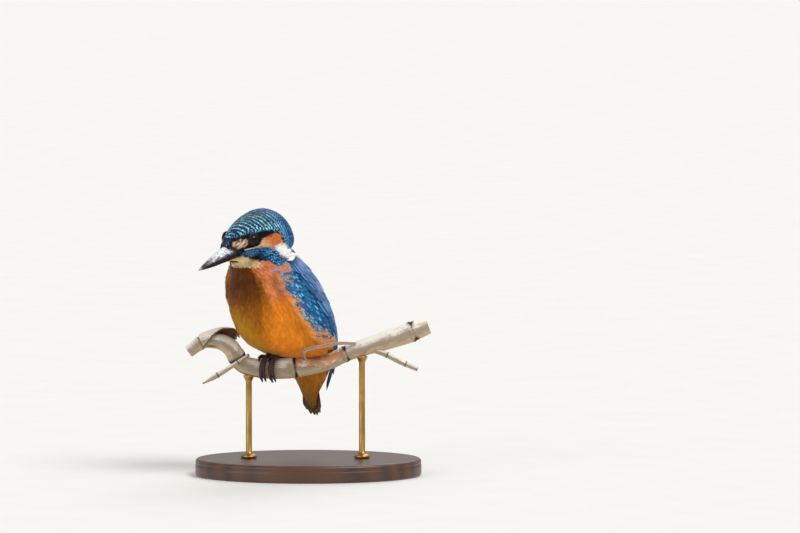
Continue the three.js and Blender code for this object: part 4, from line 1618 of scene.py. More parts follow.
@dataclass
class Bill:
    """The bill: two long mandibles, in the head's frame."""

    CUTS = (
        (9.6, 4.0, 6.0, -2.2), (11.4, 4.2, 6.1, -2.3), (20, 4.9, 4.9, -2.5), (26, 4.1, 3.9, -2.2),
        (32, 2.9, 2.8, -1.8), (37.5, 1.7, 1.7, -1.15), (41.4, 0.7, 0.75, -0.45), (42.8, 0.28, 0.3, -0.16),
    )  # distance forward, culmen height, half width, keel depth
    mouth_gap: float = 0.1
    rows: int = 90
    sides: int = 22

    @classmethod
    def half_width_at(cls, x: Array) -> Array:
        """Half the bill's width at a distance forward."""
        return curve(x, [(cut[0], cut[2]) for cut in cls.CUTS])

    @classmethod
    def culmen_at(cls, x: Array) -> Array:
        """The bill's height at a distance forward."""
        return curve(x, [(cut[0], cut[1]) for cut in cls.CUTS])

    def _mandible(self, upper: bool) -> Shape:
        """One mandible, with a ridge, a groove for the nostril and a sharp cutting edge."""
        ways = np.linspace(0, 1, self.rows)
        x, culmen, wide, keel = spline(np.array(self.CUTS), ways).T
        height = culmen if upper else keel
        sign = 1.0 if upper else -1.0
        wide = wide * (1 if upper else 0.93)
        angle = np.linspace(0, math.pi, self.sides)
        ridge = np.sin(angle) ** 1.1
        crest = 0.06 * np.exp(-(((angle - math.pi / 2) / 0.16) ** 2))
        y = wide[:, None] * np.cos(angle) * (1 - 0.1 * np.sin(angle * 2) ** 2)
        z = sign * self.mouth_gap + (height - sign * self.mouth_gap)[:, None] * (ridge + crest)
        if upper:
            slit = ((x[:, None] - 20.4) / 2.3) ** 2 + ((np.abs(y) / wide[:, None] - 0.62) / 0.13) ** 2
            depth = 0.55 * np.exp(-(slit**1.6))
            y -= np.sign(y) * depth
            z -= depth * 0.3
        floor = np.linspace(-1, 1, 9)[1:-1]
        fy = wide[:, None] * floor
        fz = np.full_like(fy, sign * self.mouth_gap) + sign * 0.16 * (1 - floor**2)
        ring_y = np.concatenate([y, fy], 1)
        ring_z = np.concatenate([z, fz], 1)
        rings = np.stack([np.repeat(x[:, None], ring_y.shape[1], 1), ring_y, ring_z], -1)
        made = loft(rings)
        px, py, pz = made.points.T
        grain = wave(made.points * [0.35, 1, 1], 3, 8 if upper else 9)
        made.points = made.points + np.outer(0.03 * grain, [0, 0, 1])
        ridged = pz / self.culmen_at(px) + 0.12 * wave(made.points, 2.5, 10)
        # Paler share: the bill's pale tip, and on the upper mandible a painted highlight over the ridge from
        # near the base to past the middle.
        pale_tip_and_highlight = 0.5 * ramp(px, 39.5, 42.6)
        if upper:
            pale_tip_and_highlight = pale_tip_and_highlight + ramp(px, 12, 15) * ramp(px, 40, 26) * ramp(ridged, 0.3, 0.75)
        made.values["stem"] = np.stack([px, pale_tip_and_highlight, py], 1)
        return made

    def build(self, finish: bpy.types.Material) -> None:
        """Both mandibles."""
        for name, upper in (("bill_upper", True), ("bill_lower", False)):
            shape = self._mandible(upper).placed(HEAD).placed(BIRD)
            shape.piece(f"{name}_horn", finish, Slot.BILL, [name])

    def build_gape(self, hull: Hull, finish: bpy.types.Material) -> None:
        """The soft flange from the corner of the bill to under each eye."""
        shapes = []
        for side in (1, -1):
            line = []
            for share in np.linspace(0, 1, 18):
                x = 12.6 - 6.2 * share
                wanted = HEAD.out(np.array([x, side * (7.2 + 3.4 * share), 1.55 - 0.5 * share**2]))
                point, normal = hull.near(Vector(wanted))
                line.append(np.array(point) + np.array(normal) * 0.1)
            radii = 0.25 * np.sin(np.linspace(0.25, 1, 18) * math.pi) ** 0.5 + 0.04
            shapes.append(tube(np.array(line), radii, 8))
        Shape.joined(shapes).placed(BIRD).piece("gape", finish, Slot.BILL)


@dataclass
class Eyes:
    """The eyes, each with its bare beaded rim."""

    LID = (
        (0.1, -0.6), (-0.08, -0.02), (0.04, 0.18), (0.24, 0.22), (0.44, 0.06), (0.66, -0.3), (0.85, -0.9),
    )  # the rim's section: past the edge of its opening, and outwards from it
    body: Body
    lid_reach: float = 2.92  # radius of the opening between the lids
    rings: int = 40
    sides: int = 56

    def _axis(self, middle: Array) -> Array:
        """Which way an eye looks."""
        out = HEAD.into(middle) * [0, 1, 0]
        guess = middle + HEAD.out_along(unit(out) * 3.4 + [0.9, 0, 0.25])
        _, normal = self.body.hull.near(Vector(guess))
        return unit(0.6 * np.array(normal) + 0.4 * HEAD.out_along(unit(out)))

    @staticmethod
    def _around(axis: Array) -> tuple[Array, Array]:
        """Two directions across an axis."""
        first = unit(np.cross(axis, [0, 0, 1.0]))
        return first, np.cross(first, axis)

    def lids(self) -> Shape:
        """The rims of both eyes, a row of fine beads."""
        shapes = []
        for middle in self.body.eyes:
            axis = self._axis(middle)
            across, over = self._around(axis)
            turns = np.linspace(0, TURN, 97)[:-1]
            rise = math.sqrt(self.body.eye_radius**2 - self.lid_reach**2)
            points = []
            for ring, (reach, up) in enumerate(self.LID):
                beads = 0.06 * np.cos(turns * 24) * (1 <= ring <= 4)
                out = self.lid_reach + reach + beads
                points.append(
                    middle
                    + np.outer(out * np.cos(turns), across)
                    + np.outer(out * np.sin(turns), over)
                    + (rise + up + beads)[:, None] * axis
                )
            shapes.append(loft(np.array(points)))
        return Shape.joined(shapes)

    def build(self, finish: bpy.types.Material) -> None:
        """Both eyeballs, each with a slightly raised cornea."""
        for name, middle in zip(("eye_left", "eye_right"), self.body.eyes):
            axis = self._axis(middle)
            across, over = self._around(axis)
            bend = np.linspace(0.02, 0.97, self.rings) * math.pi
            turns = np.arange(self.sides) * TURN / self.sides
            radius = self.body.eye_radius * (1 + 0.035 * np.exp(-((bend / 0.5) ** 2)))
            out = (radius * np.sin(bend))[:, None, None]
            rings = middle + (radius * np.cos(bend))[:, None, None] * axis
            rings = rings + out * np.cos(turns)[None, :, None] * across
            rings = rings + out * np.sin(turns)[None, :, None] * over
            made = loft(rings)
            front = np.arange(self.rings) < self.rings // 2
            made.store("stem", np.repeat(np.where(front, np.sin(bend), 1), self.sides))
            made.placed(BIRD).piece(f"{name}_ball", finish, Slot.EYE, [name])


# ------------------------------------------------------------------ perch


@dataclass
class Reed:
    """The cut length of dry reed, with its torn sheath, peeled strip, stalk and side shoot."""

    LINE = np.array([
        (-62.4, 64.8, 3.2), (-55.5, 69.6, 3.5), (-50.4, 70.4, 3.8), (-45.2, 69.7, 4.2),
        (-40.8, 67.2, 4.5), (-38.2, 63.6, 4.5), (-35.8, 60, 4.6), (-32, 57.4, 4.7),
        (-24, 55.8, 4.95), (-16.7, 55.7, 5.3), (-9.9, 56.2, 5.5), (-4.2, 57, 5.3),
        (3.6, 57.9, 4.6), (11.9, 60.1, 4.2), (17.1, 62.5, 4.1), (22.3, 64.7, 4.1),
        (35.3, 69, 4.6), (48.8, 73.3, 5.2), (54, 75.2, 5.2), (62.4, 78.5, 4.4),
    ])  # the stem's middle: x, z, radius
    DENSE = spline(LINE, np.linspace(0, 1, 1200))
    JOINTS = (-56.7, -37.4, -7.6, 19, 54)
    wall: float = 0.95
    bore: float = 9
    ends: tuple[float, float] = (-64.22, 64.0)
    sides: int = 56

    @classmethod
    def clearance(cls, points: Array) -> Array:
        """How far points of the shared frame lie outside the stem."""
        places = upright(cls.DENSE[::8, 0], cls.DENSE[::8, 1])
        best = np.full(len(points), 1e9)
        for place, radius in zip(places, cls.DENSE[::8, 2]):
            best = np.minimum(best, np.linalg.norm(points - place, axis=1) - radius)
        return best

    @classmethod
    def room(cls, control: Array) -> Array:
        """How far each feather's points, in the bird's frame, lie outside the stem at the nearest."""
        gaps = cls.clearance(BIRD.out(control.reshape(-1, 3)))
        return gaps.reshape(len(control), -1).min(1)

    @classmethod
    def at(cls, x: Array) -> tuple[Array, Array, Array]:
        """The stem's middle, upward direction and radius where its line passes x."""
        x = np.atleast_1d(np.asarray(x, float))
        dense = cls.DENSE
        z = np.interp(x, dense[:, 0], dense[:, 1])
        slope = np.interp(x, dense[:, 0], np.gradient(dense[:, 1], dense[:, 0]))
        joint = np.max([np.exp(-(((x - at) / 1.2) ** 2)) for at in cls.JOINTS], axis=0)
        radius = np.interp(x, dense[:, 0], dense[:, 2]) + 0.35 * joint
        return upright(x, z), unit(upright(-slope, np.ones(len(x)))), radius

    @classmethod
    def on(cls, x: Array, angle: Array, above: Array) -> Array:
        """Places over the stem: x, degrees over from its top towards -Y, and height."""
        middle, up, radius = cls.at(x)
        reach = (radius + above)[:, None]
        turn = np.broadcast_to(np.asarray(angle, float), (len(middle),))[:, None] * RAD
        return middle + reach * (up * np.cos(turn) - np.array([0, 1, 0]) * np.sin(turn))

    def build(
        self, reed: bpy.types.Material, sheath: bpy.types.Material, strip: bpy.types.Material
    ) -> None:
        """The stem and all that grows on it."""
        self._stem().piece("reed_stem", reed, Slot.REED, ["perch_reed"])
        self._sheath().piece("reed_sheath", sheath, Slot.SHEATH, ["perch_sheath"])
        self._strip().piece("reed_strip", strip, Slot.SHEATH, ["perch_strip"])
        for name, line, radii, seed in (
            ("stalk", ((-54.8, -9.4, 49.1), (-45, -8.4, 54.6), (-37, -7.4, 59.6), (-31, -3.4, 63.4)),
             (0.5, 1.35, 1.2, 1.1, 0.9), 4),
            ("shoot", ((34, -1.4, 65.6), (40.5, -3, 63.6), (48, -4, 60), (57, -4.4, 56)),
             (1.2, 1.5, 1.5, 1.2), 5),
        ):
            shape = self._stalk(np.array(line), np.array(radii), seed)
            shape.piece(f"reed_{name}", reed, Slot.REED, [f"perch_{name}"])

    def _stem(self) -> Shape:
        """The hollow stem, ribbed along its length and ringed at its joints."""
        line = even_spline(self.LINE, 520)
        middle = upright(line[:, 0], line[:, 1])
        along = unit(np.gradient(middle, axis=0))
        up = upright(-along[:, 2], along[:, 0])
        turns = np.arange(self.sides) * TURN / self.sides
        x = line[:, 0]
        collar = np.zeros(len(x))
        groove = np.zeros(len(x))
        stain = np.zeros(len(x))
        for at in self.JOINTS:
            faint = 0.45 if at < -50 else 1
            collar += 0.35 * np.exp(-(((x - at) / 1.2) ** 2))
            groove += np.exp(-(((x - at - 0.9) / 0.42) ** 2)) + 0.6 * np.exp(-(((x - at + 1.3) / 0.3) ** 2))
            stain += faint * np.exp(-(((x - at - 0.9) / (1.6 if at > 50 else 0.95)) ** 2))
        reach = lengths_along(middle)
        spots = rolled(reach, turns, 5)
        ribs = 0.05 * wave(spots * [0.05, 1, 1], 1.6, 61) + 0.12 * wave(spots * [0.3, 1, 1], 9, 62)
        ribs = ribs.reshape(len(x), self.sides)
        torn = self._torn(x, turns)
        radius = (line[:, 2] + collar - 0.22 * groove)[:, None] + ribs - 0.35 * torn
        rings = middle[:, None] + radius[..., None] * (
            np.cos(turns)[None, :, None] * up[:, None] - np.sin(turns)[None, :, None] * np.array([0, 1, 0])
        )
        inner = []
        for end, sign in ((0, 1), (len(x) - 1, -1)):
            rows = []
            for step in (self.bore, self.bore * 0.5, 0.3, 0.0):
                share = radius[end].mean() - self.wall * (1 if step else 0.6)
                ring = middle[end] + sign * along[end] * step + share * (
                    np.cos(turns)[:, None] * up[end] - np.sin(turns)[:, None] * np.array([0, 1, 0])
                )
                rows.append(ring)
            inner.append(rows if end == 0 else rows[::-1])
        rings = np.concatenate([np.array(inner[0]), rings, np.array(inner[1])])
        made = loft(rings)
        made.points[:, 0] = np.clip(made.points[:, 0], *self.ends)
        shade = 0.9 + 0.5 * np.sin(turns * 2 + 1.6)[None] - 3 * ribs
        dark = np.clip(stain[:, None] * 1.6 * shade - 0.35, 0, 1) + 0.3 * groove[:, None]
        degrees = (turns / RAD)[None]
        # Painted shadow: a dark line along the lower front of the stem between x -37 and -20. A dark patch
        # is also laid low on its front near x -50.5.
        under = np.exp(-(((degrees - 152) / 7) ** 2)) * (ramp(x, -37, -35) * ramp(x, -20, -23))[:, None]
        mouth = np.exp(-(((degrees - 130) / 10) ** 2)) * np.exp(-(((x + 50.5) / 3.4) ** 2))[:, None]
        dark = np.clip(dark + under + mouth, 0, 1)
        # Painted shade: the rings inside the two cut ends are marked here, and the finish paints them dark
        # as shade in the bore.
        hollow = np.ones(len(made.points))
        hollow[3 * self.sides : (len(rings) - 3) * self.sides] = 0
        margin = ((4, 4), (0, 0))  # the rings inside the two ends
        made.store("stem", *rolled(np.pad(reach, 4, "edge"), turns).T)
        made.store("wear_and_shade", np.pad(torn, margin), np.pad(dark, margin), hollow)
        return made

    @staticmethod
    def _torn(x: Array, turns: Array) -> Array:
        """Where the outer skin of the stem is torn away: on its top and front, past the bird."""
        degrees = (turns / RAD)[None]
        spots = rolled(x, turns, 4)
        edge = wave(spots * [0.5, 1, 1], 5, 63, 4).reshape(len(x), len(turns))
        patch = np.zeros((len(x), len(turns)))
        for middle, at, long, wide in ((-1, 45, 6.5, 52), (9, 60, 8, 48), (15, 45, 6, 36)):
            off = np.abs((degrees - at + 180) % 360 - 180)
            reach = 1 - ((x[:, None] - middle) / long) ** 2 - (off / wide) ** 2
            patch = np.maximum(patch, ramp(reach + 0.45 * edge, 0.0, 0.25))
        return patch

    def _sheath(self) -> Shape:
        """The torn leaf sheath: a thin curled shell with a ragged edge, dark inside."""
        table = np.array([
            (-55.4, 124, -116, 0.4), (-53.2, 104, -118, 0.9), (-50, 62, -116, 1.8),
            (-46.4, 30, -104, 3.2), (-43, 8, -84, 4.2), (-41.2, -4, -58, 3),
        ])
        rows, columns = 60, 40
        x, near, far, above = spline(table, np.linspace(0, 1, rows)).T
        ragged = 5 * wave(np.stack([x * 2.2, np.zeros(rows)], 1), 6, 71)
        sheets, turned = [], []
        for i in range(rows):
            angle = np.linspace(near[i] + ragged[i], far[i] - ragged[-1 - i], columns)
            turned.append(np.r_[angle, angle[::-1]])
        for thick in (0.5, 0.0):
            sheet = []
            for i in range(rows):
                angle = turned[i][:columns]
                curl = 0.35 * (np.linspace(-1, 1, columns) ** 4) * min(1.0, above[i])
                place = np.stack([np.full(columns, x[i]), angle * 0.1], 1)
                dent = 0.12 * wave(place, 5, 72)
                slant = x[i] + 0.9 * wave(angle[:, None] * 0.08, 2.5, 73) * (i / rows) ** 6
                sheet.append(self.on(slant, angle, above[i] + thick + curl + dent))
            sheets.append(np.array(sheet))
        rings = np.concatenate([sheets[0], sheets[1][:, ::-1]], 1)
        made = loft(rings)
        inside = np.zeros((rows, 2 * columns))
        inside[:, columns:] = 1
        edge = np.zeros((rows, 2 * columns))
        edge[:, [0, 1, -1]] = 1
        radians = np.array(turned) * RAD
        made.store("stem", np.repeat(x, 2 * columns), np.cos(radians), np.sin(radians))
        made.store("wear_and_shade", 0.12 * (1 - inside), np.maximum(inside, edge), 0.4 * edge)
        return made

    def _strip(self) -> Shape:
        """The peeled strip that loops out from the stem, with frayed fibres at its edges."""
        knots = np.array([
            (24.5, -3, 69.3), (16, -8, 70), (7, -14.6, 69), (0.6, -17.6, 68), (-2, -17.8, 66.4),
            (-2, -16, 63.6), (0.6, -12.6, 61.4), (5, -8.6, 60.8), (9.4, -4.8, 62),
        ])
        line = even_spline(knots, 110)
        along = unit(np.gradient(line, axis=0))
        centre = np.array([5.0, -10, 65])
        outward = unit(np.cross(along, np.cross(line - centre, along)))
        across = np.cross(along, outward)
        way = np.linspace(0, 1, len(line))
        half = 1.15 * (1 - 0.35 * ramp(way, 0.85, 1)) + 0.1 * wave(line, 7, 81)
        turns = np.arange(20) * TURN / 20
        flat = 0.34 + 0.05 * wave(line, 3, 82)
        cup = 0.22 * np.cos(turns * 2)[None, :, None] * outward[:, None]
        rings = (
            line[:, None]
            + (half[:, None] * np.cos(turns)[None])[..., None] * across[:, None]
            + (flat[:, None] * np.sin(turns)[None])[..., None] * outward[:, None]
            - cup
        )
        made = loft(rings)
        made.store("stem", *rolled(way * 60, turns).T)
        made.store("wear_and_shade", np.tile(ramp(np.sin(turns), 0.1, -0.5) * 0.8, len(line)))
        return made

    def _stalk(self, knots: Array, radii: Array, seed: int) -> Shape:
        """A thin dry stalk with two joints and split ends."""
        count = 90
        line = even_spline(knots, count)
        way = np.linspace(0, 1, count)
        radius = spline(radii[:, None], way)[:, 0]
        for at in (0.3, 0.72):
            radius = radius + 0.22 * np.exp(-(((way - at) / 0.02) ** 2))
        sides = 20
        turns = np.arange(sides) * TURN / sides
        rough = wave(rolled(way * 6, turns, 3), 3, seed).reshape(count, sides)
        ends = ramp(way, 0.04, 0) + ramp(way, 0.96, 1)
        made = tube(line, radius[:, None] * (1 + 0.07 * rough * (1 + 3 * ends[:, None])), sides)
        joint = np.exp(-(((way - 0.31) / 0.012) ** 2)) + np.exp(-(((way - 0.73) / 0.012) ** 2))
        made.store("wear_and_shade", 0, np.repeat(np.clip(joint + 0.5 * ends, 0, 1), sides))
        return made


# ------------------------------------------------------------------ feet


@dataclass
class Foot:
    """One foot gripping the reed: a short shank, four scaled toes and their claws."""

    side: str
    stance: tuple[float, float]
    knee: tuple[float, float, float]
    toes: dict[str, tuple[float, float]]
    toe_radius: float = 1.2
    toe_end: float = 0.8
    toe_bow: float = 1.3
    above: float = 1.55
    scute: float = 0.62  # length of one scale over a toe

    def _toe(self, end: tuple[float, float], count: int = 60) -> Array:
        """A toe's middle line, from the foot over the reed to where the claw begins."""
        way = np.linspace(0, 1, count)
        spread = 1 - (1 - way) ** 2.2
        bow = self.toe_bow * np.sin(way * math.pi) * (end[1] > 90)
        x = self.stance[0] + (end[0] - self.stance[0]) * spread - bow
        angle = self.stance[1] + (end[1] - self.stance[1]) * way
        return self.on(x, angle)

    def on(self, x: Array, angle: Array) -> Array:
        """The toes' middle height over the reed."""
        return Reed.on(x, angle, np.full(len(np.atleast_1d(x)), self.above))

    def _limb(self, line: Array, radius: Array, sides: int = 18) -> Shape:
        """A scaled tube: scales overlap along its top and pads swell under it."""
        reach = lengths_along(line)
        turns = np.arange(sides) * TURN / sides
        saw = (reach / self.scute) % 1
        scales = 0.07 * (1 - saw) ** 0.7 - 0.03
        pads = 0.1 * np.sin(reach * TURN / 2.6) ** 2
        top = ramp(np.cos(turns), -0.3, 0.4)[None]
        swell = scales[:, None] * top + pads[:, None] * (1 - top)
        return tube(line, radius[:, None] * (1 + swell), sides, (0.3, 1, 0.1))

    def build(self, skin: bpy.types.Material, horn: bpy.types.Material) -> None:
        """The foot as one piece, and each claw."""
        ankle = Reed.on(*(np.array([v]) for v in (*self.stance, self.above + 0.5)))[0]
        knee = np.array(self.knee, float)
        shank = even_spline(np.array([knee, knee + (ankle - knee) * 0.6, ankle]), 40)
        shapes = [self._limb(shank, np.linspace(1.7, 1.5, 40), 22)]
        ball = even_spline(np.array([ankle + [-1.2, 0, -0.1], ankle, ankle + [1.2, 0, -0.1]]), 16)
        shapes.append(tube(ball, 1.6 * np.sin(np.linspace(0.14, 0.86, 16) * math.pi) ** 0.5, 18, (0, 1, 0)))
        for name, end in self.toes.items():
            line = self._toe(end)
            way = np.linspace(0, 1, len(line))
            taper = self.toe_radius + (self.toe_end - self.toe_radius) * way
            taper = taper * (1 + 0.1 * np.cos(way * 4 * math.pi))
            taper = taper * np.where(way > 0.97, 0.8, 1)
            shapes.append(self._limb(line, taper))
            claw = self._claw(line, end)
            claw.piece(f"claw_{self.side}_{name}_horn", horn, Slot.CLAW, [f"claw_{self.side}_{name}"])
        joined = Shape.joined([Shape(s.points, s.faces, {"stem": s.values["stem"]}) for s in shapes])
        joined.piece(f"foot_{self.side}", skin, Slot.FOOT, [f"leg_{self.side}"])

    def _claw(self, toe: Array, end: tuple[float, float]) -> Shape:
        """A curved claw that carries on from its toe and bends back to the reed."""
        tip, ahead = toe[-1], unit(toe[-1] - toe[-3])
        around = math.copysign(1.0, end[1])
        aim = Reed.on(*(np.array([v]) for v in (end[0], end[1] + 6 * around, self.above - 1)))[0]
        inward = unit(aim - tip)
        knots = [
            tip + ahead * reach + inward * bend
            for reach, bend in ((0.1, 0), (1.4, -0.12), (2.4, 0.12), (3.2, 0.45))
        ]
        line = even_spline(np.array(knots), 24)
        way = np.linspace(0, 1, 24)
        made = tube(line, 0.62 * (1 - way) ** 0.6 + 0.05, 14, (0.3, 1, 0.1))
        made.store("stem", made.values["stem"][:, 0] * 4)
        return made


# ------------------------------------------------------------------ wings and tail


class Sheet:
    """A curved sheet that long feathers lie on, in the bird's frame."""

    def at(self, along: Array, across: Array) -> Array:
        """Places on the sheet."""
        raise NotImplementedError

    def facing(self, along: Array, across: Array) -> Array:
        """The sheet's outward normals."""
        step = 0.004
        down = self.at(along + step, across) - self.at(along - step, across)
        over = self.at(along, across + step) - self.at(along, across - step)
        return unit(np.cross(down, over)) * self.outward

    def lay(self, starts: Array, ends: Array, halves: Array, bow: Array) -> tuple[Array, Array]:
        """Control points of feathers that lie along the sheet.

        Args:
            starts: Root of each, along and across the sheet.
            ends: Tip of each.
            halves: Half their widths in millimetres.
            bow: How far each bends sideways on its way, across the sheet.

        Returns:
            Points and normals, by feather, row, column and axis.
        """
        share = np.linspace(0, 1, CONTROL_ROWS)[None]
        along = starts[:, :1] + (ends - starts)[:, :1] * share
        across = starts[:, 1:] + (ends - starts)[:, 1:] * share
        across = across + bow[:, None] * np.sin(share * math.pi)
        shape = along.shape
        flat, side = along.ravel(), across.ravel()
        breadth = np.linalg.norm(self.at(flat, side + 0.02) - self.at(flat, side - 0.02), axis=1) / 0.04
        reach = np.repeat(halves, CONTROL_ROWS) / np.maximum(breadth, 1e-6)
        points, normals = [], []
        for where in (-1, 0, 1):
            points.append(self.at(flat, side + where * reach))
            normals.append(self.facing(flat, side + where * reach))
        form = (*shape, 3, 3)
        return np.stack(points, 1).reshape(form), np.stack(normals, 1).reshape(form)


@dataclass
class WingSheet(Sheet):
    """The outer face of the folded left wing: front edge, crest and back edge."""

    outward: float = 1.0
    front: Array = field(default_factory=lambda: np.array([
        (20.5, 14.5, 113.5), (23, 17.8, 107), (21, 22.6, 97), (13.6, 25.8, 83.5), (5, 26, 74.5),
        (-6, 23.8, 69), (-14.5, 20, 68), (-19.2, 16.4, 63.5), (-18, 13, 53.2), (-20.2, 8.6, 44.4),
    ]))
    crest: Array = field(default_factory=lambda: np.array([
        (14, 17.5, 115), (13, 22.6, 108.5), (7, 26, 99), (-3, 27.2, 86), (-10, 25.6, 76.5),
        (-16.5, 20.8, 68.5), (-20, 17.4, 65), (-22.6, 14.4, 60), (-22.5, 11.4, 51.4), (-22.3, 7.8, 43.2),
    ]))
    back: Array = field(default_factory=lambda: np.array([
        (6, 14.5, 116), (-1, 14.5, 110.5), (-10, 13.2, 102.5), (-18.2, 12.5, 90), (-22.5, 11.5, 78),
        (-24.5, 10.4, 67), (-25, 9.8, 62), (-25.3, 9.2, 57), (-25.2, 7.8, 49.4), (-24.3, 6.2, 43.4),
    ]))

    def __post_init__(self) -> None:
        """Finds which side of the sheet is outside."""
        middle = np.array([0.4]), np.array([0.5])
        if self.facing(*middle)[0, 1] < 0:
            self.outward = -1.0

    def at(self, along: Array, across: Array) -> Array:
        """Places on the wing: from shoulder to tip, and from front to back."""
        beyond = along - np.clip(along, 0, 1)
        ways = np.clip(along, 0, 1)
        f, c, b = (spline(edge, ways) for edge in (self.front, self.crest, self.back))
        bend = 2 * c - 0.5 * f - 0.5 * b
        q = np.clip(across, 0, 1)[:, None]
        point = (1 - q) ** 2 * f + 2 * q * (1 - q) * bend + q**2 * b
        past = (across - np.clip(across, 0, 1))[:, None]
        point = point + np.where(past > 0, past * 2 * (b - bend), past * 2 * (bend - f)) * 0.7
        return point + beyond[:, None] * (self.crest[-1] - self.crest[-2]) * 9


@dataclass
class TailSheet(Sheet):
    """The closed tail's upper face, a low roof."""

    outward: float = 1.0
    root: tuple[float, float, float] = (-18.8, 0, 56)
    tip: tuple[float, float, float] = (-22.3, 0, 29.4)
    root_half: float = 4.4
    tip_half: float = 7.2
    roof: float = 0.22

    def __post_init__(self) -> None:
        """Finds which side of the sheet is the upper one."""
        if self.facing(np.array([0.5]), np.array([0.3]))[0, 0] > 0:
            self.outward = -1.0

    def at(self, along: Array, across: Array) -> Array:
        """Places on the tail: from root to tip, and from right to left edge."""
        root, tip = np.array(self.root), np.array(self.tip)
        half = self.root_half + (self.tip_half - self.root_half) * along
        side = across * half
        up = unit(np.cross(tip - root, [0, 1, 0]))
        up = up if up[0] < 0 else -up
        middle = root + (tip - root) * along[:, None]
        drop = self.roof * np.sqrt(side**2 + 0.3)
        return middle + side[:, None] * np.array([0, 1, 0]) - drop[:, None] * up


@dataclass(frozen=True)
class Row:
    """One tract of wing feathers, as rows across the wing.

    Attributes:
        along: Where its first and last rows start, from shoulder to tip.
        rows: How many rows there are.
        across: The front and back ends of a row.
        count: Feathers in a row.
        length: Their length at the first and last row.
        aspect: Half a feather's width over its length.
        raised: How far the tract lies over the wing.
        colours: Ground and accent.
        marks: Strength of bar, spot and edge.
        slope: How much further along the back end of a row starts.
    """

    along: tuple[float, float]
    rows: int
    across: tuple[float, float]
    count: int
    length: tuple[float, float]
    aspect: float
    raised: float
    colours: tuple[Array, Array]
    marks: tuple[float, float, float]
    slope: float = 0.0


@dataclass(frozen=True)
class Fan:
    """One group of flight feathers, from its first to its last.

    Attributes:
        roots: Where the first and the last start, along and across the wing.
        tips: Where they end.
        count: How many there are.
        half: Half a feather's width in millimetres.
        depth: How far the first lies over the wing.
        colours: Ground and accent.
        edge: Strength of the pale edge.
    """

    roots: tuple[tuple[float, float], tuple[float, float]]
    tips: tuple[tuple[float, float], tuple[float, float]]
    count: int
    half: float
    depth: float
    colours: tuple[Array, Array]
    edge: float


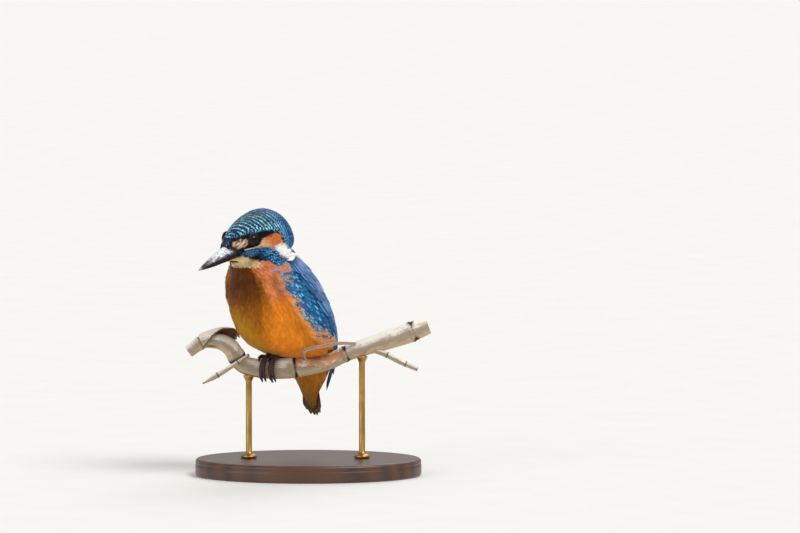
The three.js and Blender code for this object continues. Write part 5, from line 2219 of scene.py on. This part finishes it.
@dataclass
class Wings:
    """Both folded wings: coverts and scapulars, and the flight feathers under them."""

    body: Body
    sheet: WingSheet = field(default_factory=WingSheet)
    span: float = 84  # length of the folded wing

    TRACTS = (
        Row(
            (0.37, 0.47), 2, (0.08, 0.7), 9, (10, 11.5), 0.2, 0.12,
            (tone(4, 74, 122), tone(44, 160, 206)), (0.1, 0.5, 0.6), 0.06,
        ),
        Row(
            (0.27, 0.36), 3, (0.08, 0.62), 9, (6.6, 7.8), 0.24, 0.26,
            (tone(4, 80, 132), tone(112, 212, 236)), (0, 1, 0.25), 0.08,
        ),
        Row(
            (-0.02, 0.27), 11, (0.07, 0.54), 8, (4.2, 5.8), 0.29, 0.4,
            (tone(4, 84, 142), tone(120, 216, 240)), (0, 1, 0.15), 0.1,
        ),
        Row(
            (0.03, 0.4), 10, (0.52, 0.97), 5, (10, 17), 0.15, 0.8,
            (tone(4, 76, 132), tone(104, 182, 228)), (0, 0.1, 0.9), -0.03,
        ),
    )
    FANS = (
        Fan(
            ((0.46, 0.3), (0.56, 0.5)), ((0.97, 0.42), (1.0, 0.72)), 7, 1.5, -0.75,
            (tone(24, 27, 34), tone(18, 84, 120)), 0.5,
        ),
        Fan(
            ((0.42, 0.12), (0.50, 0.7)), ((0.72, 0.12), (0.87, 0.8)), 10, 2.1, -0.35,
            (tone(9, 40, 62), tone(34, 146, 196)), 0.85,
        ),
        Fan(
            ((0.40, 0.6), (0.46, 0.96)), ((0.66, 0.62), (0.82, 0.95)), 5, 2.3, 0.0,
            (tone(14, 56, 92), tone(58, 150, 200)), 0.8,
        ),
    )

    def _tract(self, row: Row, seed: int) -> tuple[Plumes, Paint, Array]:
        """The feathers of one tract, their colours and their places on the bake map."""
        chance = np.random.default_rng(seed)
        starts, ends, halves, sizes = [], [], [], []
        for i in range(row.rows):
            share = i / max(row.rows - 1, 1)
            place = row.along[0] + (row.along[1] - row.along[0]) * share
            size = row.length[0] + (row.length[1] - row.length[0]) * share
            for k in range(row.count):
                way = (k + 0.5 * (i % 2)) / (row.count - 0.5)
                q = row.across[0] + (row.across[1] - row.across[0]) * way
                p = place + row.slope * way + chance.uniform(-0.007, 0.007)
                q = q + chance.uniform(-0.012, 0.012)
                length = size * chance.uniform(0.86, 1.14)
                starts.append((p, q))
                ends.append((p + length / self.span, q * 0.96 + 0.02 + chance.uniform(-0.01, 0.01)))
                halves.append(length * row.aspect)
                sizes.append(length)
        starts, ends, halves, sizes = map(np.array, (starts, ends, halves, sizes))
        control, normals = self.sheet.lay(starts, ends, halves, np.zeros(len(starts)))
        raised = row.raised - 0.006 * (np.arange(len(starts)) // row.count)
        plumes = Plumes(control, normals, sizes, 0.75 - raised, raised + 0.16, 0.12, 0.07)
        count = len(starts)
        paint = Paint.plain(count, row.colours[0])
        tint = chance.uniform(0, 1, count)
        paint.lay(tint * 0.3, Markings.MANTLE_SPOT)
        scapular = row.raised > 0.5
        # Painted sheen: the back edge of the wing, and a strip of scapulars with paler lilac accents, take a
        # mauve-grey cast that stands in for light glancing off them.
        paint.lay(ramp(starts[:, 1], 0.82, 1) * 0.3, Markings.SHEEN)
        strip = scapular * ramp(starts[:, 1], 0.5, 0.7) * ramp(starts[:, 1], 1, 0.86)
        strip = strip * ramp(starts[:, 0], 0.42, 0.12) * (chance.random(count) < 0.72)
        paint.lay(strip * chance.uniform(0.25, 0.75, count), Markings.SHEEN)
        # Painted shade: the coverts along the gap in front of the raised scapulars are darkened to crown
        # blue, without spots.
        gap_shade = ramp(starts[:, 1], 0.36, 0.46) * (1 - scapular)
        paint.lay(gap_shade * 0.85, Markings.CROWN)
        paint.accent = blend(row.colours[1], tone(176, 190, 226), strip)
        strength = np.clip(chance.uniform(-0.3, 1.1, (count, 1)), 0, 1)
        paint.marks = np.tile(row.marks, (count, 1)) * strength
        paint.marks *= (1 - gap_shade)[:, None]
        paint.soft = np.zeros(count)
        spots = np.stack([0.04 + 0.92 * starts[:, 1], 0.04 + 0.9 * starts[:, 0]], 1)
        return plumes, paint, spots

    def build(self, finish: bpy.types.Material) -> None:
        """Coverts and flight feathers of both sides."""
        vane = Vane.rounded(7, 5, 0.5, 0.5, 0.7)
        shapes = [
            plumes.shape(vane, paint, spots, 50 + index)
            for index, row in enumerate(self.TRACTS)
            for plumes, paint, spots in [self._tract(row, 40 + index)]
        ]
        coverts = Shape.joined(shapes)
        flight = self._flight()
        for side in ("left", "right"):
            coverts.placed(BIRD).piece(f"coverts_{side}", finish, Slot.BLUE)
            flight.placed(BIRD).piece(f"flight_{side}", finish, Slot.BLUE, [f"wing_{side}_flight"])
            coverts, flight = coverts.mirrored(), flight.mirrored()

    def _flight(self) -> Shape:
        """Tertials and secondaries in a stepped fan, and the primaries under them."""
        vane = Vane.rounded(26, 9, 0.5, 0.3, 0.86)
        shapes = []
        for index, fan in enumerate(self.FANS):
            count = fan.count
            share = np.linspace(0, 1, count)[:, None]
            starts, ends = (np.array(a) + (np.array(b) - a) * share for a, b in (fan.roots, fan.tips))
            chance = np.random.default_rng(90 + index)
            ends[:, 0] += chance.uniform(-0.008, 0.008, count)
            control, normals = self.sheet.lay(
                starts, ends, np.full(count, fan.half), np.full(count, 0.02)
            )
            length = np.linalg.norm(np.diff(control[:, :, 1], axis=1), axis=2).sum(1)
            layer = fan.depth + 0.11 * np.arange(count)
            plumes = Plumes(control, normals, length, -layer, layer + 0.1, 0.16, 0.12)
            paint = Paint.crisp(count, *fan.colours, (0, 0, fan.edge))
            column = 0.03 + 0.94 * (np.arange(count) + 7 * index) / 23
            made = plumes.shape(vane, paint, np.zeros((count, 2)), 95 + index)
            made.spots = self._strips(vane, column)
            shapes.append(made)
        return Shape.joined(shapes)

    @staticmethod
    def _strips(vane: Vane, columns: Array) -> Array:
        """Places on the bake map of long feathers, each in a strip of its own."""
        s, t = vane.ways.T
        low = (np.arange(len(s)) >= len(s) // 2) * 0.5
        strip = np.stack([t * 0.016, 0.02 + s * 0.45 + low], 1)
        corners = np.stack([columns, np.zeros_like(columns)], 1)
        return (strip[None] + corners[:, None]).reshape(-1, 2)


@dataclass
class Tail:
    """The short closed tail of twelve feathers, blue above and dusky below."""

    sheet: TailSheet = field(default_factory=TailSheet)
    count: int = 12

    def build(self, finish: bpy.types.Material) -> None:
        """All the tail feathers as one piece."""
        out = np.linspace(-1, 1, self.count)
        starts = np.stack([np.zeros(self.count), out * 0.7], 1)
        chance = np.random.default_rng(119)
        short = 0.1 * np.abs(out) ** 2.5 + chance.uniform(0, 0.07, self.count)
        ends = np.stack([1.0 - short, out * 0.84], 1)
        control, normals = self.sheet.lay(starts, ends, np.full(self.count, 1.65), out * 0.02)
        length = np.full(self.count, 26.0)
        layer = -0.07 * np.abs(np.arange(self.count) - (self.count - 1) / 2)
        plumes = Plumes(control, normals, length, -layer, layer, 0.1, 0.14)
        paint = Paint.crisp(self.count, tone(14, 62, 104), tone(40, 130, 186), (0, 0, 0.7))
        vane = Vane.rounded(26, 9, 0.55, 0.3, 0.84)
        made = plumes.shape(vane, paint, np.zeros((self.count, 2)), 120)
        under = np.tile(np.arange(len(vane.ways)) >= len(vane.ways) // 2, self.count)
        made.values["plume"][under, :3] = tone(116, 82, 44)
        made.values["accent"][under, :3] = tone(58, 48, 46)
        made.spots = Wings._strips(vane, 0.04 + 0.92 * np.arange(self.count) / self.count)
        made.placed(BIRD).piece("tail_feathers", finish, Slot.TAIL, ["tail"])


@dataclass
class Fringe:
    """The loose flank feathers that lie over the front edge of each wing."""

    body: Body
    sheet: WingSheet = field(default_factory=WingSheet)
    rows: tuple[tuple[float, ...], ...] = (
        (-5, 6.4, 0.41, 0.6), (-3.6, 6.4, 0.36, 0.62), (-2.2, 6, 0.03, 0.66), (-1, 6.2, 0.03, 0.68),
        (0.2, 6.8, 0.03, 0.68), (1.5, 7.6, 0.03, 0.68), (2.8, 8.4, 0.03, 0.68),
    )  # distance in front of the wing's edge, length, and where each row starts and ends

    def build(self, finish: bpy.types.Material) -> None:
        """Both sides, in rows in front of the wing's edge."""
        roots, headings, sizes = [], [], []
        chance = np.random.default_rng(130)
        for back, size, first, last in self.rows:
            for place in np.linspace(first, last, round(110 * (last - first))):
                p = place + chance.uniform(-0.005, 0.005)
                here = self.sheet.at(np.array([p]), np.array([0.0]))[0]
                ahead = self.sheet.at(np.array([p + 0.02]), np.array([0.0]))[0]
                inward = here - self.sheet.at(np.array([p]), np.array([0.1]))[0]
                along = unit(ahead - here)
                roots.append(here + unit(inward) * (back + chance.uniform(-0.4, 0.4)))
                headings.append(along * chance.uniform(0.1, 0.7) - unit(inward) * chance.uniform(0.5, 1.0))
                sizes.append(size * chance.uniform(0.8, 1.15))
        roots, headings, sizes = np.array(roots), unit(np.array(headings)), np.array(sizes)
        shapes = []
        vane = Vane.frayed(9, 0.2, 1.1, 0.42)
        for mirror in (1, -1):
            side = roots * [1, mirror, 1]
            control, normals = self.body.hull.lay(side, headings * [1, mirror, 1], sizes, sizes * 0.24)
            clear = Reed.room(control) > 0.5
            count = clear.sum()
            lift = chance.uniform(0.7, 1.7, len(side))
            plumes = Plumes(control[clear], normals[clear], sizes[clear], np.full(count, 0.2), lift[clear])
            # Painted light: the left fringe is painted as if in sunlight, in bright flank orange with salmon
            # at the shoulder and pale tips; the right fringe keeps darker body colours and brown tips, as if
            # in shade.
            lit = mirror > 0
            paint = self.body.markings.paint(side[clear])
            paint.lay(np.full(count, 0.85 if lit else 0), Markings.FLANK)
            shoulder = ramp(side[clear][:, 2], 93, 102) * (1 if lit else 0.2)
            paint.lay(shoulder, Markings.SUNLIT_SHOULDER)
            odd = shoulder * (chance.random(count) < 0.16)
            paint.lay(odd, tone(206, 172, 186))
            paint.accent = np.tile(tone(250, 206, 156) if lit else tone(176, 120, 50), (count, 1))
            paint.marks = np.tile([0.5, 0.5, 0.2], (count, 1)) * chance.uniform(0.3, 1, (count, 1))
            shapes.append(plumes.shape(vane, paint, self.body.unwrap(side[clear]), 140 + mirror))
        Shape.joined(shapes).placed(BIRD).piece("flank_fringe", finish, Slot.ORANGE)


# ------------------------------------------------------------------ stand and stage


@dataclass
class Stand:
    """The display stand: an oval base and two turned rods."""

    size: tuple[float, float, float] = (118, 78, 9)
    edge: float = 1.6
    rods: tuple[float, ...] = (-31, 28)
    rod_radius: float = 1.6
    foot: tuple[float, float] = (4.2, 2.4)
    cup: tuple[float, float] = (3, 3)
    clearance: float = 0.3

    @staticmethod
    def _ring(x: float, halves: tuple[float, float], z: float, count: int) -> Array:
        """A level oval ring of points about the place x."""
        turns = np.arange(count) * TURN / count
        places = np.broadcast_arrays(x + halves[0] * np.cos(turns), halves[1] * np.sin(turns), z)
        return np.stack(places, 1)

    def _base(self) -> Shape:
        """The base: an oval block with rounded edges and a shallow bead."""
        length, width, height = self.size
        profile = [(-self.edge, 0.0)]
        profile += [
            (-self.edge * (1 - math.sin(a)), self.edge * (1 - math.cos(a)))
            for a in np.linspace(0.1, math.pi / 2, 7)
        ]
        profile += [(0, height * 0.5), (0, height - 3.2), (-0.35, height - 2.9), (-0.1, height - 2.4)]
        profile += [
            (-self.edge * (1 - math.cos(a)) - 0.1, height - self.edge * (1 - math.sin(a)))
            for a in np.linspace(0, math.pi / 2, 7)
        ]
        profile += [(-6.0, height), (-20.0, height)]
        rings = [
            self._ring(0, (length / 2 + inset, width / 2 + inset), z, 160) for inset, z in profile
        ]
        return loft(np.array(rings))

    def _rod(self, x: float) -> Shape:
        """One rod with its foot and the cup that holds the reed."""
        base_top = self.size[2] + self.clearance
        middle, _, radius = (value[0] for value in Reed.at(x))
        under = middle[2] - radius - self.clearance
        wide, tall = self.foot
        thin = self.rod_radius
        cup, deep = self.cup
        profile = [
            (0.3, base_top), (wide - 0.3, base_top), (wide, base_top + 0.3),
            (wide, base_top + tall * 0.5), (wide - 0.5, base_top + tall * 0.62),
            (thin + 0.9, base_top + tall * 0.85), (thin, base_top + tall + 0.6),
            (thin, under - deep), (thin + 0.5, under - deep * 0.6),
            (cup - 0.2, under - 0.4), (cup, under + 0.1),
        ]  # radius and height, from the foot up to the cup
        turns = np.arange(48) * TURN / 48
        rings = [self._ring(x, (r, r), z, 48) for r, z in profile]
        saddle = []
        for share in (1.0, 0.88, 0.5, 0.05):
            r = cup * share
            y = r * np.sin(turns)
            seat = middle[2] - np.sqrt(np.maximum((radius + self.clearance) ** 2 - y**2, 0))
            rise = seat if share < 1 else np.maximum(seat, under + 0.1)
            saddle.append(np.stack([x + r * np.cos(turns), y, rise], 1))
        return loft(np.array(rings + saddle))

    def build(self, wood: bpy.types.Material, brass: bpy.types.Material) -> None:
        """Base and rods."""
        self._base().piece("stand_block", wood, Slot.WOOD, ["stand_base"])
        for index, x in enumerate(self.rods, 1):
            self._rod(x).piece(f"stand_post_{index}", brass, Slot.BRASS, [f"stand_rod_{index}"])


@dataclass
class Stage:
    """Floor, lights and camera.

    Attributes:
        aim: What the camera looks at, in millimetres.
        rise: How many degrees it stands above that.
        distance: How far away it is.
    """

    aim: tuple[float, float, float] = (47.8, 0, 109.3)
    rise: float = 5
    distance: float = 3470
    lens: float = 300
    floor_size: float = 60000

    def build(self) -> None:
        """Sets the scene."""
        self._floor()
        self._lights()
        self._camera()

    def _floor(self) -> None:
        """A plain pale floor."""
        g = Graph("floor")
        rays = g.add("ShaderNodeLightPath", None, None, "Is Glossy Ray")
        grain = g.noise(g.place(), 40, 3)
        colour = g.mix(tone(232, 231, 228), tone(238, 237, 234), grain)
        shader = g.add("ShaderNodeBsdfDiffuse", None, {"Color": colour})
        # Painted light: the floor also glows a little, seen only in glossy reflections.
        glow = g.add("ShaderNodeEmission", None, {"Color": (0.9, 0.9, 0.9, 1), "Strength": 0.9})
        material = g.finished(g.add("ShaderNodeMixShader", None, {0: rays * 0.6, 1: shader, 2: glow}))
        half = self.floor_size / 2 * MM
        mesh = bpy.data.meshes.new("floor")
        corners = [(-half, -half, 0), (half, -half, 0), (half, half, 0), (-half, half, 0)]
        mesh.from_pydata(corners, [], [(0, 1, 2, 3)])
        mesh.materials.append(material)
        floor = bpy.data.objects.new("floor", mesh)
        bpy.context.scene.collection.objects.link(floor)

    def _lights(self) -> None:
        """A broad key from the upper right, a fill from the left and an even sky."""
        lamps = (("key", 48, 52, 1.55, 26), ("fill", -48, 12, 0.75, 50), ("rim", 165, 48, 0.7, 34))
        for name, azimuth, elevation, power, spread in lamps:
            sun = bpy.data.lights.new(name, "SUN")
            sun.energy = power
            sun.angle = spread * RAD
            lamp = bpy.data.objects.new(name, sun)
            a, e = azimuth * RAD, elevation * RAD
            way = Vector((math.sin(a) * math.cos(e), -math.cos(a) * math.cos(e), math.sin(e)))
            lamp.rotation_euler = way.to_track_quat("Z", "Y").to_euler()
            bpy.context.scene.collection.objects.link(lamp)
        world = bpy.data.worlds.new("studio")
        world.use_nodes = True
        background = world.node_tree.nodes["Background"]
        background.inputs["Color"].default_value = (1, 1, 1, 1)
        background.inputs["Strength"].default_value = 0.52
        bpy.context.scene.world = world

    def _camera(self) -> None:
        """The camera, level and far away."""
        data = bpy.data.cameras.new("camera")
        data.lens = self.lens
        data.sensor_width = 36
        data.clip_end = 200
        camera = bpy.data.objects.new("camera", data)
        aim = Vector(self.aim) * MM
        rise = self.rise * RAD
        back = Vector((0, -math.cos(rise), math.sin(rise)))
        camera.location = aim + back * self.distance * MM
        camera.rotation_euler = back.to_track_quat("Z", "Y").to_euler()
        bpy.context.scene.collection.objects.link(camera)
        bpy.context.scene.camera = camera
        bpy.context.scene.view_settings.view_transform = "Standard"


# ------------------------------------------------------------------ the whole


FEET = (
    Foot("left", (-15, 4), (-12.8, -1.6, 66.5),
         {"inner": (-20.1, 32), "middle": (-19.2, 138), "outer": (-17.8, 128), "hind": (-12.8, -108)}),
    Foot("right", (-20.6, -16), (-17.2, 5.2, 66),
         {"inner": (-26.2, 28), "middle": (-23.8, 136), "outer": (-22.4, 127), "hind": (-18, -112)}),
)


def main() -> None:
    """Builds every piece, and the stage around them."""
    logging.basicConfig(level=logging.INFO, format="%(message)s")
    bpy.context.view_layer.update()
    plumage = PlumageFinish("plumage", rough=0.42).build()
    soft = PlumageFinish("soft_plumage", rough=0.75, sheen=0.12).build()
    horn = HornFinish("bill_horn", tone(24, 22, 25), tone(236, 237, 243)).build()
    claw = HornFinish("claw_horn", tone(18, 14, 15), tone(70, 60, 58), 0.35).build()
    scales = ScaleFinish("foot_scales", tone(44, 27, 30), tone(92, 62, 56)).build()
    gape = HornFinish("gape_flesh", tone(190, 176, 168), tone(214, 204, 198), 0.5).build()
    reed = ReedFinish("reed").build()
    sheath = ReedFinish("reed_sheath", dark=tone(112, 64, 22)).build()
    strip = ReedFinish(
        "reed_strip", tone(198, 190, 184), tone(132, 118, 112), tone(176, 140, 104), tone(214, 160, 110)
    ).build()

    body = Body()
    eyes = Eyes(body)
    body.build_skin(SkinFinish().build(), eyes.lids())
    body.build_coat(plumage, soft)
    Wings(body).build(plumage)
    Fringe(body).build(soft)
    Tail().build(plumage)
    eyes.build(EyeFinish().build())
    bill = Bill()
    bill.build(horn)
    bill.build_gape(body.hull, gape)
    Reed().build(reed, sheath, strip)
    for foot in FEET:
        foot.build(scales, claw)
    Stand().build(WoodFinish().build(), BrassFinish().build())
    Stage().build()


if __name__ == "__main__":
    main()
